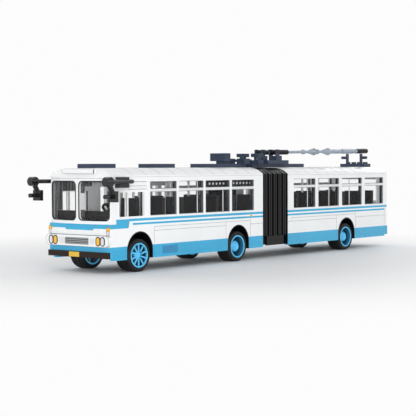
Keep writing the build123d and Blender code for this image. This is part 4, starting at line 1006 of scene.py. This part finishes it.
glow = tree.nodes.new("ShaderNodeEmission")
glow.inputs["Color"].default_value = BACKDROP
glow.inputs["Strength"].default_value = 1.0
choice = tree.nodes.new("ShaderNodeMixShader")
tree.links.new(seen, choice.inputs["Fac"])
tree.links.new(shader.outputs["BSDF"], choice.inputs[1])
tree.links.new(glow.outputs["Emission"], choice.inputs[2])
tree.links.new(choice.outputs["Shader"], tree.nodes["Material Output"].inputs["Surface"])

# Sky: soft light for the bus, the plain pale backdrop for the eye
SKY_COLOUR, SKY_STRENGTH = (0.97, 0.98, 1.0, 1.0), 0.52
world = bpy.data.worlds.new("studio")
bpy.context.scene.world = world
world.use_nodes = True
tree = world.node_tree
sky = tree.nodes["Background"]
sky.inputs["Color"].default_value = SKY_COLOUR
sky.inputs["Strength"].default_value = SKY_STRENGTH
plain = tree.nodes.new("ShaderNodeBackground")
plain.inputs["Color"].default_value = BACKDROP
plain.inputs["Strength"].default_value = 1.0
choice = tree.nodes.new("ShaderNodeMixShader")
tree.links.new(seen_by_eye(tree), choice.inputs["Fac"])
tree.links.new(sky.outputs["Background"], choice.inputs[1])
tree.links.new(plain.outputs["Background"], choice.inputs[2])
tree.links.new(choice.outputs["Shader"], tree.nodes["World Output"].inputs["Surface"])

# Lamps as (name, position, aim, width, height, power), in metres and watts
# The fill stands low, so that it reaches in at the windows
LAMPS = [
    ("key", (0.9, 1.2, 1.0), (0.0, 0.0, 0.04), 1.1, 1.1, 5.6),
    ("fill", (1.35, 1.05, 0.09), (0.06, 0.0, 0.06), 0.7, 0.14, 12.0),
    ("rear", (-1.2, 1.2, 0.9), (-0.1, 0.0, 0.04), 1.0, 1.0, 3.0),
    ("right", (0.1, -1.5, 0.6), (0.0, 0.0, 0.04), 1.2, 0.8, 8.0),
    ("back", (-1.7, -0.3, 0.5), (-0.1, 0.0, 0.04), 0.9, 0.7, 6.0),
]
for name, position, aim, width, height, power in LAMPS:
    light = bpy.data.lights.new(name, "AREA")
    light.shape = "RECTANGLE"
    light.size = width
    light.size_y = height
    light.energy = power
    lamp = bpy.data.objects.new(name, light)
    lamp.location = position
    lamp.rotation_euler = (Vector(aim) - Vector(position)).to_track_quat("-Z", "Y").to_euler()
    bpy.context.scene.collection.objects.link(lamp)

# Camera as fitted to the photograph, with its focal length in pixels of the square image
CAMERA_AT = (629.0, 614.57, 78.64)
YAW, PITCH, ROLL = radians(219.400), radians(-2.061), radians(-0.211)
FOCAL_PIXELS, IMAGE_PIXELS, SENSOR = 1144.3, 416, 36.0
camera_data = bpy.data.cameras.new("camera")
camera_data.sensor_width = SENSOR
camera_data.lens = FOCAL_PIXELS / IMAGE_PIXELS * SENSOR
camera_data.clip_start = 0.01
camera = bpy.data.objects.new("camera", camera_data)
ahead = Vector((cos(YAW) * cos(PITCH), sin(YAW) * cos(PITCH), sin(PITCH)))
across = ahead.cross(Vector((0, 0, 1))).normalized()
upward = across.cross(ahead)
right = across * cos(ROLL) + upward * sin(ROLL)
up = upward * cos(ROLL) - across * sin(ROLL)
turn = Matrix((right, up, -ahead)).transposed()
camera.matrix_world = Matrix.Translation(place(*CAMERA_AT)) @ turn.to_4x4()
bpy.context.scene.collection.objects.link(camera)
bpy.context.scene.camera = camera
bpy.context.scene.view_settings.view_transform = "Standard"
